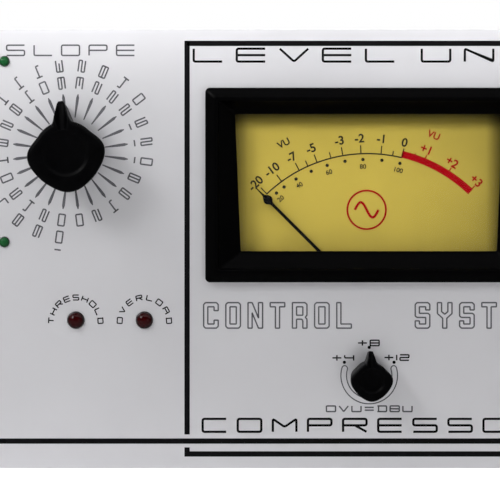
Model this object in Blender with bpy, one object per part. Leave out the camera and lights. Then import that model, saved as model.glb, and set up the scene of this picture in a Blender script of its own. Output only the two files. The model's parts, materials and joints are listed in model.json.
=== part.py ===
"""A three-unit rack compressor: panel, controls, moving-coil level meter, chassis, electronics.

Lengths are in millimetres, and build() turns each shape to metres. +X is to the right of the
front panel, +Y runs into the rack and +Z is up. The origin is the centre of the chassis underside.
"""

import math

import bmesh
import bpy
from mathutils import Matrix, Vector

MM = 0.001
GAP = 0.3  # between pieces that touch on the real object

# Chassis
CHASSIS_W, CHASSIS_D, CHASSIS_H = 430.0, 250.0, 129.5
SHEET = 1.6
FLANGE_W = 17.0
HALF_W, HALF_D = CHASSIS_W / 2, CHASSIS_D / 2

# Circuit boards and transformer
STANDOFF_H, STANDOFF_R = 8.0, 3.0
BOARD_T = 1.6
BOARD_Z = SHEET + STANDOFF_H + GAP
ON_BOARD = BOARD_Z + BOARD_T + GAP  # where a part that stands on a board begins
POWER_BOARD = {"centre": (-150.0, -42.0), "size": (110.0, 84.0)}
MAIN_BOARD = {"centre": (72.0, 4.0), "size": (230.0, 176.0)}
TOROID_XY, TOROID_R, TOROID_HOLE, TOROID_H = (-150.0, 50.0), 46.0, 15.0, 42.0

# Front panel: a three-unit panel for a 19 inch rack
PANEL_W, PANEL_H, PANEL_T = 482.6, 132.5, 4.0
POCKET = 0.5  # depth of the milled pocket that seats the chassis
BACK = -HALF_D  # the mounting face of the ears
FACE = BACK - PANEL_T
SEAT = BACK - POCKET
PANEL_Z = CHASSIS_H / 2
SLOT_X, SLOT_Z = 465.1 / 2, 57.15 / 2
SLOT_LENGTH, SLOT_WIDTH = 10.3, 6.8
PANEL_SCREW_X, PANEL_SCREW_Z = 207.0, 52.0
PANEL_SCREW_R, PANEL_SCREW_HEAD_R, SOCKET_R = 2.0, 4.0, 1.3

# Controls, placed from the middle of the front panel
DIAL_Z = 29.4
SLOPE_X, INPUT_X = -90.2, -157.0
RANGE_Z = -38.2
STEP_ANGLE = 15.0  # between the 24 positions of a main control
FIRST_ANGLE = STEP_ANGLE / 2  # of the pointer in its first position, clockwise from straight down
MAIN_CONTROLS = {  # name: (x, position at rest, where the first is 0)
    "input": (INPUT_X, 10),
    "slope": (SLOPE_X, 11),
    "release": (-SLOPE_X, 13),
    "output": (-INPUT_X, 9),
}
MAIN_KNOB = {"lobe": 11.6, "tip": 15.6, "tip_half_width": 0.8, "height": 18.8}
RANGE_KNOB = {"lobe": 6.4, "tip": 8.3, "tip_half_width": 0.45, "height": 11.5}
KNOB_TAPER = 0.88  # the size of a knob at the panel, where 1 is its size near the top
MAIN_SWITCH = {"body_r": 15.0, "bushing_r": 4.7, "shaft_r": 3.0, "rotor_r": 11.5, "depth": 24.0}
RANGE_SWITCH = {"body_r": 6.0, "bushing_r": 2.4, "shaft_r": 1.6, "rotor_r": 3.0, "depth": 16.0}
LAMP_Z = -21.5
LAMP_HOLE_GAP = 0.15
LAMPS = {  # name: (x, z, radius, colour)
    "threshold_lamp": (-88.6, LAMP_Z, 2.5, "red_lens"),
    "overload_lamp": (-67.9, LAMP_Z, 2.5, "red_lens"),
    "power_lamp": (130.0, LAMP_Z, 2.5, "red_lens"),
    "upper_green_lamp": (-110.2, 56.7, 1.5, "green_lens"),
    "lower_green_lamp": (-110.2, 2.1, 1.5, "green_lens"),
}
TOGGLE_X = 157.0
TOGGLE_ANGLE = 11.0  # each side of straight out
TOGGLE_BUSHING_R = 3.0

# Meter
METER_Z = 19.4  # middle of the bezel
BEZEL_W, BEZEL_H, BEZEL_PROUD = 99.0, 58.6, 3.6
CUTOUT_W, CUTOUT_H = 93.0, 52.6
PIVOT_Z = -15.9
POINTER_R = 48.2
POINTER_REST = -45.0  # from upright, clockwise
DIAL_FACE = BACK + 3.5
POINTER_Y = DIAL_FACE - 1.9
CASE_W, CASE_TOP, CASE_BOTTOM = 102.0, 50.5, -30.4
CASE_BACK = -92.0
CASE_WALL = 1.6
MAGNET_FRONT, MAGNET_REAR = -116.0, -106.0
MAGNET_IN, MAGNET_OUT, CORE_R = 9.0, 12.0, 5.5
COIL_OUT, COIL_IN, COIL_T = 7.6, 6.2, 2.0
BRIDGE_HALF_W = 12.0

# Rear connectors
INLET_X, XLR_IN_X, XLR_OUT_X, POST_X = -165.0, 150.0, 108.0, 70.0
CONNECTOR_Z = 36.0
REAR = HALF_D  # outer face of the rear panel
CONNECTOR_FACE = REAR + GAP
XLR_SHELL_R = 12.0
XLR_PIN_CIRCLE = 4.4
INLET_HALF_W, INLET_HALF_H = 14.0, 24.0
DRAWER_Z = -16.5  # from the middle of the inlet
DRAWER_HALF_W, DRAWER_HALF_H = 11.0, 5.0
POST_R = 3.0

COLOURS = {  # name: (colour, roughness, metallic)
    "anodised": ((0.72, 0.72, 0.74), 0.38, 0.9),
    "sheet_metal": ((0.55, 0.56, 0.57), 0.45, 0.8),
    "black_paint": ((0.03, 0.03, 0.03), 0.5, 0.0),
    "black_plastic": ((0.015, 0.015, 0.017), 0.35, 0.0),
    "dial_print": ((0.62, 0.53, 0.14), 0.6, 0.0),
    "clear": ((0.9, 0.95, 0.95), 0.05, 0.0),
    "steel": ((0.6, 0.6, 0.6), 0.3, 1.0),
    "brass": ((0.75, 0.6, 0.3), 0.3, 1.0),
    "red_lens": ((0.12, 0.01, 0.01), 0.15, 0.0),
    "green_lens": ((0.02, 0.2, 0.05), 0.2, 0.0),
    "board": ((0.05, 0.2, 0.08), 0.5, 0.0),
    "winding": ((0.35, 0.12, 0.04), 0.4, 0.2),
    "capacitor": ((0.05, 0.08, 0.2), 0.4, 0.0),
}


# ---------------------------------------------------------------- shapes


def ring_faces(bm, lower, upper):
    """Quads between two rings of the same length, or a fan where one ring is a single point."""
    count = max(len(lower), len(upper))
    for i in range(count):
        j = (i + 1) % count
        if len(lower) == 1:
            bm.faces.new((lower[0], upper[i], upper[j]))
        elif len(upper) == 1:
            bm.faces.new((lower[i], lower[j], upper[0]))
        else:
            bm.faces.new((lower[i], lower[j], upper[j], upper[i]))


def loft(rings, closed=False):
    """A solid through rings of 3-D points. Its ends are capped, or joined to each other if closed."""
    bm = bmesh.new()
    made = [[bm.verts.new(p) for p in ring] for ring in rings]
    for lower, upper in zip(made, made[1:]):
        ring_faces(bm, lower, upper)
    if closed:
        ring_faces(bm, made[-1], made[0])
    else:
        for end in (made[0], made[-1]):
            if len(end) > 2:
                bm.faces.new(end)
    bmesh.ops.recalc_face_normals(bm, faces=bm.faces)
    return bm


def along_y(points, y):
    """2-D (x, z) points placed at a depth y."""
    return [(x, y, z) for x, z in points]


def circle(radius, segments, centre=(0.0, 0.0)):
    step = 2 * math.pi / segments
    return [
        (centre[0] + radius * math.sin(i * step), centre[1] + radius * math.cos(i * step))
        for i in range(segments)
    ]


def rounded_rectangle(half_w, half_h, radius, steps=3, centre=(0.0, 0.0)):
    points = []
    for sx, sz, start in ((1, 1, 0), (-1, 1, 90), (-1, -1, 180), (1, -1, 270)):
        for i in range(steps + 1):
            angle = math.radians(start + 90 * i / steps)
            points.append((
                centre[0] + sx * (half_w - radius) + radius * math.cos(angle),
                centre[1] + sz * (half_h - radius) + radius * math.sin(angle),
            ))
    return points


def lathe(profile, segments, closed=False):
    """Turns (radius, y) points about the Y axis. A radius of 0 is a point on the axis."""
    rings = [
        [(0.0, y, 0.0)] if radius == 0 else along_y(circle(radius, segments), y)
        for radius, y in profile
    ]
    return loft(rings, closed)


def block(low, high):
    bm = bmesh.new()
    bmesh.ops.create_cube(bm, size=1.0)
    low, high = Vector(low), Vector(high)
    size = high - low
    bm.transform(Matrix.Translation((low + high) / 2) @ Matrix.Diagonal((*size, 1.0)))
    return bm


def prism(outline, y0, y1):
    """A (x, z) outline extruded along Y."""
    return loft([along_y(outline, y0), along_y(outline, y1)])


def cylinder(radius, y0, y1, segments=24):
    return lathe([(0, y0), (radius, y0), (radius, y1), (0, y1)], segments)


def moved(bm, offset, turn=None):
    """The same shape, turned by a matrix and then moved."""
    if turn is not None:
        bm.transform(turn.to_4x4())
    bm.transform(Matrix.Translation(offset))
    return bm


def upright(bm):
    """A shape made along Y, stood up along Z."""
    bm.transform(Matrix.Rotation(math.pi / 2, 4, "X"))
    return bm


def together(shapes):
    """Separate shapes in one mesh, for use as one cutter or one addition."""
    whole = bmesh.new()
    for shape in shapes:
        mesh = bpy.data.meshes.new("shape")
        shape.to_mesh(mesh)
        shape.free()
        whole.from_mesh(mesh)
        bpy.data.meshes.remove(mesh)
    return whole


# ---------------------------------------------------------------- objects


def finish_for(name):
    found = bpy.data.materials.get(name)
    if found:
        return found
    colour, roughness, metallic = COLOURS[name]
    made = bpy.data.materials.new(name)
    made.use_nodes = True
    shader = made.node_tree.nodes["Principled BSDF"]
    shader.inputs["Base Color"].default_value = (*colour, 1.0)
    shader.inputs["Roughness"].default_value = roughness
    shader.inputs["Metallic"].default_value = metallic
    return made


def build(name, bm, finish, place=(0.0, 0.0, 0.0), turn=0.0, smooth=True):
    """An object from a shape in millimetres, set at place and turned about Y by turn degrees."""
    bm.transform(Matrix.Scale(MM, 4))
    mesh = bpy.data.meshes.new(name)
    bm.to_mesh(mesh)
    bm.free()
    if smooth:
        mesh.shade_smooth()
        mesh.set_sharp_from_angle(angle=math.radians(35))
    made = bpy.data.objects.new(name, mesh)
    made.location = Vector(place) * MM
    made.rotation_euler = (0.0, math.radians(turn), 0.0)
    mesh.materials.append(finish_for(finish))
    bpy.context.scene.collection.objects.link(made)
    return made


def combine(target, bm, operation):
    """Cuts a shape from target, or joins it on. The shape is in target's own millimetres."""
    helper = build(f"{target.name}_{operation.lower()}", bm, "steel", smooth=False)
    helper.location, helper.rotation_euler = target.location, target.rotation_euler
    helper.hide_render = True
    helper.display_type = "WIRE"
    modifier = target.modifiers.new(operation.title(), "BOOLEAN")
    modifier.operation = operation
    modifier.object = helper
    modifier.solver = "EXACT"
    return target


def cut(target, *shapes):
    return combine(target, together(shapes), "DIFFERENCE")


def join(target, shape):
    return combine(target, shape, "UNION")


def on_panel(x, z, y=0.0):
    """A place given from the middle of the front panel."""
    return (x, y, PANEL_Z + z)


# ---------------------------------------------------------------- chassis


def front_panel():
    panel = build(
        "front_panel",
        block((-PANEL_W / 2, FACE, PANEL_Z - PANEL_H / 2), (PANEL_W / 2, BACK, PANEL_Z + PANEL_H / 2)),
        "anodised",
        smooth=False,
    )
    cut(panel, block((-HALF_W - 0.4, SEAT, -10), (HALF_W + 0.4, BACK + 1, CHASSIS_H + 10)))

    def hole(x, z, radius, segments=18):
        return moved(cylinder(radius, FACE - 1, BACK + 1, segments), on_panel(x, z))

    holes = [
        hole(x, DIAL_Z, MAIN_SWITCH["bushing_r"] + 0.5, 20) for x, _ in MAIN_CONTROLS.values()
    ]
    holes.append(hole(0, RANGE_Z, RANGE_SWITCH["bushing_r"] + GAP))
    holes += [hole(x, z, radius + LAMP_HOLE_GAP) for x, z, radius, _ in LAMPS.values()]
    holes += [hole(x, LAMP_Z, TOGGLE_BUSHING_R + GAP) for x in (-TOGGLE_X, TOGGLE_X)]
    holes.append(
        block(
            (-CUTOUT_W / 2, FACE - 1, PANEL_Z + METER_Z - CUTOUT_H / 2),
            (CUTOUT_W / 2, BACK + 1, PANEL_Z + METER_Z + CUTOUT_H / 2),
        )
    )
    slot = rounded_rectangle(SLOT_LENGTH / 2, SLOT_WIDTH / 2, SLOT_WIDTH / 2 - 0.01, 5)
    clear_r = PANEL_SCREW_R + 0.4
    countersink = [
        (0, FACE - 1), (PANEL_SCREW_HEAD_R + 1.4, FACE - 1), (clear_r, FACE + 2.2),
        (clear_r, BACK + 1), (0, BACK + 1),
    ]
    for x in (-1, 1):
        for z in (-1, 1):
            slotted = prism(slot, FACE - 1, BACK + 1)
            holes.append(moved(slotted, on_panel(x * SLOT_X, z * SLOT_Z)))
            sunk = lathe(countersink, 20)
            holes.append(moved(sunk, on_panel(x * PANEL_SCREW_X, z * PANEL_SCREW_Z)))
    cut(panel, *holes)


def panel_screws():
    """Countersunk socket screws that hold the panel to the chassis flanges."""
    head, end = FACE + 0.1, BACK + 9
    profile = [
        (0, head + 1.6), (SOCKET_R, head + 1.6), (SOCKET_R, head), (PANEL_SCREW_HEAD_R, head),
        (PANEL_SCREW_R, head + 2.1), (PANEL_SCREW_R, end), (0, end),
    ]
    for x, side in ((-1, "left"), (1, "right")):
        for z, level in ((-1, "lower"), (1, "upper")):
            build(
                f"panel_screw_{level}_{side}",
                lathe(profile, 12),
                "steel",
                on_panel(x * PANEL_SCREW_X, z * PANEL_SCREW_Z),
            )


def standoffs(centre, spacing):
    """Press-in pillars at the corners of a circuit board, each sunk a little into the base."""
    return [
        moved(
            upright(cylinder(STANDOFF_R, -0.5, STANDOFF_H, 12)),
            (centre[0] + sx * spacing[0] / 2, centre[1] + sy * spacing[1] / 2, SHEET),
        )
        for sx in (-1, 1)
        for sy in (-1, 1)
    ]


def board_spacing(board):
    return tuple(side - 12.0 for side in board["size"])


def chassis_tray():
    """A folded tray: base, two sides, and a flange down each end of each side."""
    height = CHASSIS_H - SHEET - GAP
    front, rear = SEAT + GAP, REAR - SHEET - GAP
    inside = HALF_W - SHEET
    outline = [
        (-HALF_W, height), (-HALF_W, 0), (HALF_W, 0), (HALF_W, height),
        (inside, height), (inside, SHEET), (-inside, SHEET), (-inside, height),
    ]
    tray = build("chassis_tray", prism(outline, front, REAR), "sheet_metal", smooth=False)
    for side in (-1, 1):
        for y0, y1 in ((front, front + SHEET), (rear - SHEET, rear)):
            x0, x1 = sorted((side * (HALF_W - FLANGE_W), side * (HALF_W - SHEET / 2)))
            join(tray, block((x0, y0, SHEET / 2), (x1, y1, height)))
    pillars = standoffs(POWER_BOARD["centre"], board_spacing(POWER_BOARD))
    pillars += standoffs(MAIN_BOARD["centre"], board_spacing(MAIN_BOARD))
    join(tray, together(pillars))
    vents = [
        block((-HALF_W - 5, y - 2.0, 40), (HALF_W + 5, y + 2.0, 92))
        for y in (-72.0, -60.0, -48.0, -36.0, 36.0, 48.0, 60.0, 72.0)
    ]
    screw_holes = [
        moved(
            cylinder(PANEL_SCREW_R + 0.4, front - 2, front + SHEET + 2, 16),
            on_panel(x * PANEL_SCREW_X, z * PANEL_SCREW_Z),
        )
        for x in (-1, 1)
        for z in (-1, 1)
    ]
    bolt_hole = moved(upright(cylinder(3.4, -5, 5, 20)), (*TOROID_XY, 0))
    cut(tray, *vents, *screw_holes, bolt_hole)


def top_cover():
    """A lid with a lip inside each side of the tray, and two rows of cooling slots."""
    under = CHASSIS_H - SHEET
    lip_out = HALF_W - SHEET - GAP
    lip_in = lip_out - SHEET
    lip_z = under - 10
    right = [
        (lip_in, under), (lip_in, lip_z), (lip_out, lip_z), (lip_out, under), (HALF_W, under),
        (HALF_W, CHASSIS_H),
    ]
    outline = [(-x, z) for x, z in reversed(right)] + right
    cover = build("top_cover", prism(outline, SEAT + GAP, REAR), "sheet_metal", smooth=False)
    cut(
        cover,
        block((-HALF_W + 1, SEAT - 1, lip_z - 1), (HALF_W - 1, SEAT + 4, under)),
        block((-HALF_W + 1, REAR - 5, lip_z - 1), (HALF_W - 1, REAR + 1, under)),
    )
    slots = [
        block((x - 2.0, y - 24, under - 2), (x + 2.0, y + 24, CHASSIS_H + 2))
        for x in range(-182, 183, 14)
        for y in (-34, 46)
    ]
    cut(cover, *slots)


def rear_panel():
    half = HALF_W - SHEET - GAP
    low, high = SHEET + GAP, CHASSIS_H - SHEET - GAP
    sheet = block((-half, REAR - SHEET, low), (half, REAR, high))
    panel = build("rear_panel", sheet, "sheet_metal", smooth=False)

    def hole(x, radius, segments=28):
        return moved(cylinder(radius, REAR - 5, REAR + 5, segments), (x, 0, CONNECTOR_Z))

    half_w, half_h = INLET_HALF_W + GAP, INLET_HALF_H + GAP
    inlet = block((-half_w, REAR - 5, -half_h), (half_w, REAR + 5, half_h))
    cut(
        panel,
        hole(XLR_IN_X, XLR_SHELL_R + GAP),
        hole(XLR_OUT_X, XLR_SHELL_R + GAP),
        hole(POST_X, POST_R + GAP, 16),
        moved(inlet, (INLET_X, 0, CONNECTOR_Z)),
    )


# ---------------------------------------------------------------- controls


def knob_outline(lobe, tip, tip_half_width):
    """Three blunt lobes and a pointer, as (angle, radius) pairs clockwise from the pointer.

    The two hollows beside the pointer are deeper than the two opposite it.
    """
    edge = math.degrees(math.asin(tip_half_width / tip))
    right = [
        (edge, tip), (5.4, 0.853 * tip), (8.7, 0.745 * tip), (12.4, 0.68 * tip), (19.0, 0.64 * tip),
    ]
    pairs = [(0.0, tip + 0.1)] + right
    for angle in range(27, 334, 9):
        beside_pointer = angle < 45 or angle > 315
        valley = lobe * (0.83 if angle < 90 or angle > 270 else 0.93)
        lobed = 0.0 if beside_pointer else ((1 + math.cos(math.radians(4 * angle))) / 2) ** 1.5
        pairs.append((angle, valley + (lobe - valley) * lobed))
    pairs += [(360 - angle, radius) for angle, radius in reversed(right)]
    return pairs


def knob(name, place, turn, shaft_r, nut_r, lobe, tip, tip_half_width, height):
    """A bakelite pointer knob, whose pointer falls away to its tip.

    Its sides draw in towards the panel. It has a blind bore for the shaft and a wider recess
    that clears the switch's nut.
    """
    pairs = knob_outline(lobe, tip, tip_half_width)
    back, shoulder = -GAP, -height
    fall = 0.3 * height
    blind_end = -0.7 * height
    recess_r, recess_end = nut_r + 0.5, back - 3.2
    bore = shaft_r + 0.35

    def ring(scale, depth, limit=None):
        points = []
        for angle, radius in pairs:
            reach = min(radius * scale, limit or radius)
            beyond = max(0.0, reach - lobe) / (tip - lobe)
            turned = math.radians(angle)
            drop = fall * beyond if depth < back else 0.0
            points.append((reach * math.sin(turned), depth + drop, reach * math.cos(turned)))
        return points

    def bore_ring(radius, depth):
        turns = [math.radians(angle) for angle, _ in pairs]
        return [(radius * math.sin(turned), depth, radius * math.cos(turned)) for turned in turns]

    rings = [
        [(0.0, blind_end, 0.0)],
        bore_ring(bore, blind_end),
        bore_ring(bore, recess_end),
        bore_ring(recess_r, recess_end),
        bore_ring(recess_r, back),
        ring(KNOB_TAPER, back),
        ring(0.985, shoulder + 1.4),
        ring(0.93, shoulder + 0.25, 0.93 * lobe),
        ring(0.85, shoulder, 0.85 * lobe),
        [(0.0, shoulder + 0.2, 0.0)],
    ]
    return build(name, loft(rings), "black_plastic", place, turn)


def nut_radius(switch):
    return 1.5 * switch["bushing_r"]


def rotary_switch(name, place, switch, segments):
    """A panel-mount switch: hollow housing, bushing through the panel, and its clamping nut."""
    body_r, bushing_r = switch["body_r"], switch["bushing_r"]
    front = SEAT + GAP
    rear = front + switch["depth"]
    bore = switch["shaft_r"] + 0.08
    profile = [
        (0, rear - 1.5), (body_r - 2.5, rear - 1.5), (body_r - 2.5, front + 5.0), (bore, front + 5.0),
        (bore, FACE - 3.2), (bushing_r, FACE - 3.2), (bushing_r, front), (body_r, front),
        (body_r, rear), (0, rear),
    ]
    housing = build(name, lathe(profile, segments), "steel", place)
    nut = [along_y(circle(nut_radius(switch), 6), y) for y in (FACE - GAP, FACE - 2.4)]
    hole = [along_y(circle(bushing_r - 0.3, 6), y) for y in (FACE - 2.4, FACE - GAP)]
    join(housing, loft(nut + hole, closed=True))


def control_shaft(name, place, turn, switch, knob_height):
    """The spindle with the switch's contact rotor on it."""
    shaft_r, rotor_r = switch["shaft_r"], switch["rotor_r"]
    tip = FACE - 0.6 * knob_height
    rotor = SEAT + GAP + 0.62 * switch["depth"]
    end = SEAT + GAP + switch["depth"] - 2.5
    profile = [
        (0, tip), (shaft_r, tip), (shaft_r, rotor - 1.2), (rotor_r, rotor - 1.2),
        (rotor_r, rotor + 1.2), (shaft_r, rotor + 1.2), (shaft_r, end), (0, end),
    ]
    build(name, lathe(profile, 16), "steel", place, turn)


def rotary_control(name, x, z, turn, knob_sizes, switch, segments):
    """A knob, its shaft and its switch on one axis, with the two that move at their rest turn."""
    place = on_panel(x, z, FACE)
    knob(f"{name}_knob", place, turn, switch["shaft_r"], nut_radius(switch), **knob_sizes)
    control_shaft(f"{name}_shaft", on_panel(x, z), turn, switch, knob_sizes["height"])
    rotary_switch(f"{name}_switch", on_panel(x, z), switch, segments)


def rotary_controls():
    for name, (x, position) in MAIN_CONTROLS.items():
        turn = FIRST_ANGLE + STEP_ANGLE * position - 180.0
        rotary_control(name, x, DIAL_Z, turn, MAIN_KNOB, MAIN_SWITCH, 20)
    rotary_control("meter_range", 0, RANGE_Z, 0.0, RANGE_KNOB, RANGE_SWITCH, 16)


def toggle(name, x):
    """A miniature toggle switch. The lever rocks up and down on the ball inside the bushing."""
    front = SEAT + GAP
    pivot = FACE + 1.5
    body = build(
        f"{name}_toggle_body",
        block((-4.0, front, -6.6), (4.0, front + 10, 6.6)),
        "black_plastic",
        on_panel(x, LAMP_Z),
        smooth=False,
    )
    join(body, cylinder(TOGGLE_BUSHING_R, FACE - 4.5, front + 1, 20))
    join(body, cylinder(4.6, FACE - 2.3, FACE - GAP, 6))
    socket = [
        (0, pivot + 4.5), (2.55, pivot + 4.5), (2.55, pivot - 2.0), (2.3, FACE - 5.0), (0, FACE - 5.0),
    ]
    cut(body, lathe(socket, 18))
    ball_r = 2.15
    ball = [
        (ball_r * math.sin(math.radians(a)), ball_r * math.cos(math.radians(a)))
        for a in range(30, 151, 30)
    ]
    handle = [(0.9, -3.0), (0.9, -6.0), (1.5, -12.0), (1.9, -16.0), (1.5, -17.6), (0, -18.0)]
    lever = build(
        f"{name}_toggle_lever",
        lathe([(0, 3.2), (0.8, 3.0)] + ball + handle, 14),
        "steel",
        on_panel(x, LAMP_Z, pivot),
    )
    lever.rotation_euler = (math.radians(-TOGGLE_ANGLE), 0.0, 0.0)


def lamps():
    """Light-emitting diodes: a dome through the panel and a flange behind it."""
    flange, end = SEAT + GAP, SEAT + GAP + 1.2
    for name, (x, z, radius, finish) in LAMPS.items():
        shoulder = FACE - 0.4
        rise = 0.72 * radius
        dome = [
            (radius * math.cos(math.radians(a)), shoulder - rise * math.sin(math.radians(a)))
            for a in (60, 30, 0)
        ]
        flange_r = 1.18 * radius
        foot = [(radius, flange), (flange_r, flange), (flange_r, end), (0, end)]
        build(name, lathe([(0, shoulder - rise)] + dome + foot, 16), finish, on_panel(x, z))


# ---------------------------------------------------------------- meter


def window_outline(grow):
    """The opening over the dial, which its moulding draft makes a little wider at the top."""
    top, bottom = 21.4 + grow, -20.2 - grow
    half_top, half_bottom = 40.5 + grow, 38.8 + grow
    return [(half_top, top), (-half_top, top), (-half_bottom, bottom), (half_bottom, bottom)]


def corners_to(outline, steps):
    """Each corner of a four-sided outline, steps times a hair apart, to match a rounded ring."""
    spread = 0.12
    points = []
    for i, (x, z) in enumerate(outline):
        previous, following = outline[i - 1], outline[(i + 1) % 4]
        for k in range(steps):
            t = 2 * k / (steps - 1) - 1
            other = following if t > 0 else previous
            length = math.hypot(other[0] - x, other[1] - z)
            share = abs(t) * spread / length
            points.append((x + (other[0] - x) * share, z + (other[1] - z) * share))
    return points


def meter_bezel():
    """The frame round the dial: proud rim, sloping inner walls, and a neck through the panel."""
    front = FACE - BEZEL_PROUD
    hw, hh = BEZEL_W / 2, BEZEL_H / 2
    neck_w, neck_h = CUTOUT_W / 2 - GAP, CUTOUT_H / 2 - GAP
    steps = 2
    rings = [
        along_y(rounded_rectangle(hw, hh, 2.0, steps), FACE - GAP),
        along_y(rounded_rectangle(hw, hh, 2.0, steps), front + 1.6),
        along_y(rounded_rectangle(hw - 2.4, hh - 2.4, 1.2, steps), front),
        along_y(rounded_rectangle(hw - 3.2, hh - 3.2, 0.8, steps), front),
        along_y(corners_to(window_outline(0.0), steps + 1), FACE + 1.2),
        along_y(corners_to(window_outline(0.0), steps + 1), FACE + 2.1),
        along_y(rounded_rectangle(44.3, 24.3, 0.5, steps), FACE + 2.1),
        along_y(rounded_rectangle(44.3, 24.3, 0.5, steps), BACK + 0.1),
        along_y(rounded_rectangle(neck_w, neck_h, 0.5, steps), BACK + 0.1),
        along_y(rounded_rectangle(neck_w, neck_h, 0.5, steps), FACE - GAP),
    ]
    build("meter_bezel", loft(rings, closed=True), "black_plastic", on_panel(0, METER_Z), smooth=False)


def meter_case():
    """A box behind the panel, open at the front, with four posts that carry the dial plate."""
    front = SEAT + GAP
    hw, hh = CASE_W / 2, (CASE_TOP - CASE_BOTTOM) / 2
    middle = (CASE_TOP + CASE_BOTTOM) / 2
    floor = CASE_BACK - CASE_WALL
    outer = rounded_rectangle(hw, hh, 3.0, 2)
    inner = rounded_rectangle(hw - CASE_WALL, hh - CASE_WALL, 1.5, 2)
    rings = [
        along_y(outer, CASE_BACK), along_y(outer, front), along_y(inner, front), along_y(inner, floor),
    ]
    case = build("meter_case", loft(rings), "black_plastic", on_panel(0, middle))
    posts = [
        moved(cylinder(2.0, DIAL_FACE + 1.0 + GAP, floor + 0.8, 10), (sx * 43, 0, z - middle))
        for sx in (-1, 1)
        for z in (40.5, -4.0)
    ]
    join(case, together(posts))


def meter_glass_and_dial():
    glass = block((-44, FACE + 2.4, METER_Z - 24), (44, BACK - 0.1, METER_Z + 24))
    build("meter_window", glass, "clear", on_panel(0, 0), smooth=False)
    plate = block((-47, DIAL_FACE, METER_Z - 27), (47, DIAL_FACE + 1.0, METER_Z + 25))
    build("meter_dial", plate, "dial_print", on_panel(0, 0), smooth=False)
    lamp_board = build(
        "meter_lamp_board",
        block((-32, DIAL_FACE - 1.5, 46.4), (32, DIAL_FACE + 6.5, 47.6)),
        "board",
        on_panel(0, 0),
        smooth=False,
    )
    dome = [(0, 0.5), (1.5, 0.5), (1.5, -0.6), (0.8, -1.4), (0, -1.6)]
    domes = [moved(upright(lathe(dome, 10)), (x, DIAL_FACE + 1.6, 46.4)) for x in (-20, 20)]
    join(lamp_board, together(domes))


def meter_magnet(place):
    """A ring magnet with its core inside it, on two legs from the back of the case."""
    ring = lathe(
        [
            (MAGNET_IN, MAGNET_FRONT), (MAGNET_OUT, MAGNET_FRONT),
            (MAGNET_OUT, MAGNET_REAR), (MAGNET_IN, MAGNET_REAR),
        ],
        28,
        closed=True,
    )
    magnet = build("meter_magnet", ring, "steel", place)
    web = block((-1.2, MAGNET_FRONT + 1, -MAGNET_IN - 1), (1.2, MAGNET_REAR - 1, -CORE_R + 1))
    join(magnet, web)
    join(magnet, cylinder(CORE_R, MAGNET_FRONT, MAGNET_REAR, 20))
    legs = [
        block((side - 1.2, MAGNET_REAR - 1, -5), (side + 1.2, CASE_BACK - CASE_WALL - GAP, 5))
        for side in (-10.5, 10.5)
    ]
    join(magnet, together(legs))


def meter_bridge(place):
    """The brass strip that holds the front bearing, on two pillars."""
    front = MAGNET_FRONT - 3.6
    strip = block((-BRIDGE_HALF_W, front, -2.4), (BRIDGE_HALF_W, front + 0.9, 2.4))
    bridge = build("meter_bridge", strip, "brass", place)
    pillars = [
        moved(cylinder(1.2, front + 0.5, MAGNET_FRONT - GAP, 10), (side * (BRIDGE_HALF_W - 1.5), 0, 0))
        for side in (-1, 1)
    ]
    join(bridge, together(pillars))
    cut(bridge, cylinder(0.8, front - 1, front + 2, 12))


def meter_coil(place):
    """The coil, wound as a flat loop round the core, and its spindle."""
    front, rear = MAGNET_FRONT - 1.8, MAGNET_REAR + 1.8
    loop = block((-COIL_OUT, front, -COIL_T / 2), (COIL_OUT, rear, COIL_T / 2))
    coil = build("meter_coil", loop, "winding", place, POINTER_REST)
    cut(coil, block((-COIL_IN, front + 1.2, -COIL_T), (COIL_IN, rear - 1.2, COIL_T)))
    spindle = [
        cylinder(0.45, POINTER_Y + 0.6, front + 0.5, 8),
        cylinder(0.45, rear - 0.5, rear + 3.0, 8),
    ]
    join(coil, together(spindle))


def meter_pointer(place):
    """A flat pointer with a small arrow near its tip, a hub and a balance weight."""
    outline = [
        (-0.2, POINTER_R), (-0.28, 44.2), (-1.3, 42.8), (-0.34, 40.6), (-0.45, 3.0), (-2.2, 1.2),
        (-2.2, -1.2), (-0.8, -3.0), (-0.8, -6.0), (-1.8, -6.4), (-1.8, -8.4),
    ]
    outline += [(-x, z) for x, z in reversed(outline)]
    strip = prism(outline, POINTER_Y - 0.25, POINTER_Y + 0.25)
    build("meter_pointer", strip, "black_paint", place, POINTER_REST)


def meter_movement():
    place = on_panel(0, PIVOT_Z)
    meter_magnet(place)
    meter_bridge(place)
    meter_coil(place)
    meter_pointer(place)


# ---------------------------------------------------------------- electronics


def circuit_board(name, board):
    (cx, cy), (w, d) = board["centre"], board["size"]
    plate = block((cx - w / 2, cy - d / 2, BOARD_Z), (cx + w / 2, cy + d / 2, BOARD_Z + BOARD_T))
    build(name, plate, "board", smooth=False)


def can(name, xy, radius, height, finish, segments=20):
    """An upright round can with a crimped groove under its top."""
    profile = [
        (0, 0), (radius, 0), (radius, height - 5.0), (radius - 0.9, height - 4.0),
        (radius, height - 3.0), (radius, height - 0.8), (radius - 0.8, height), (0, height),
    ]
    build(name, moved(upright(lathe(profile, segments)), (*xy, ON_BOARD)), finish)


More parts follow.
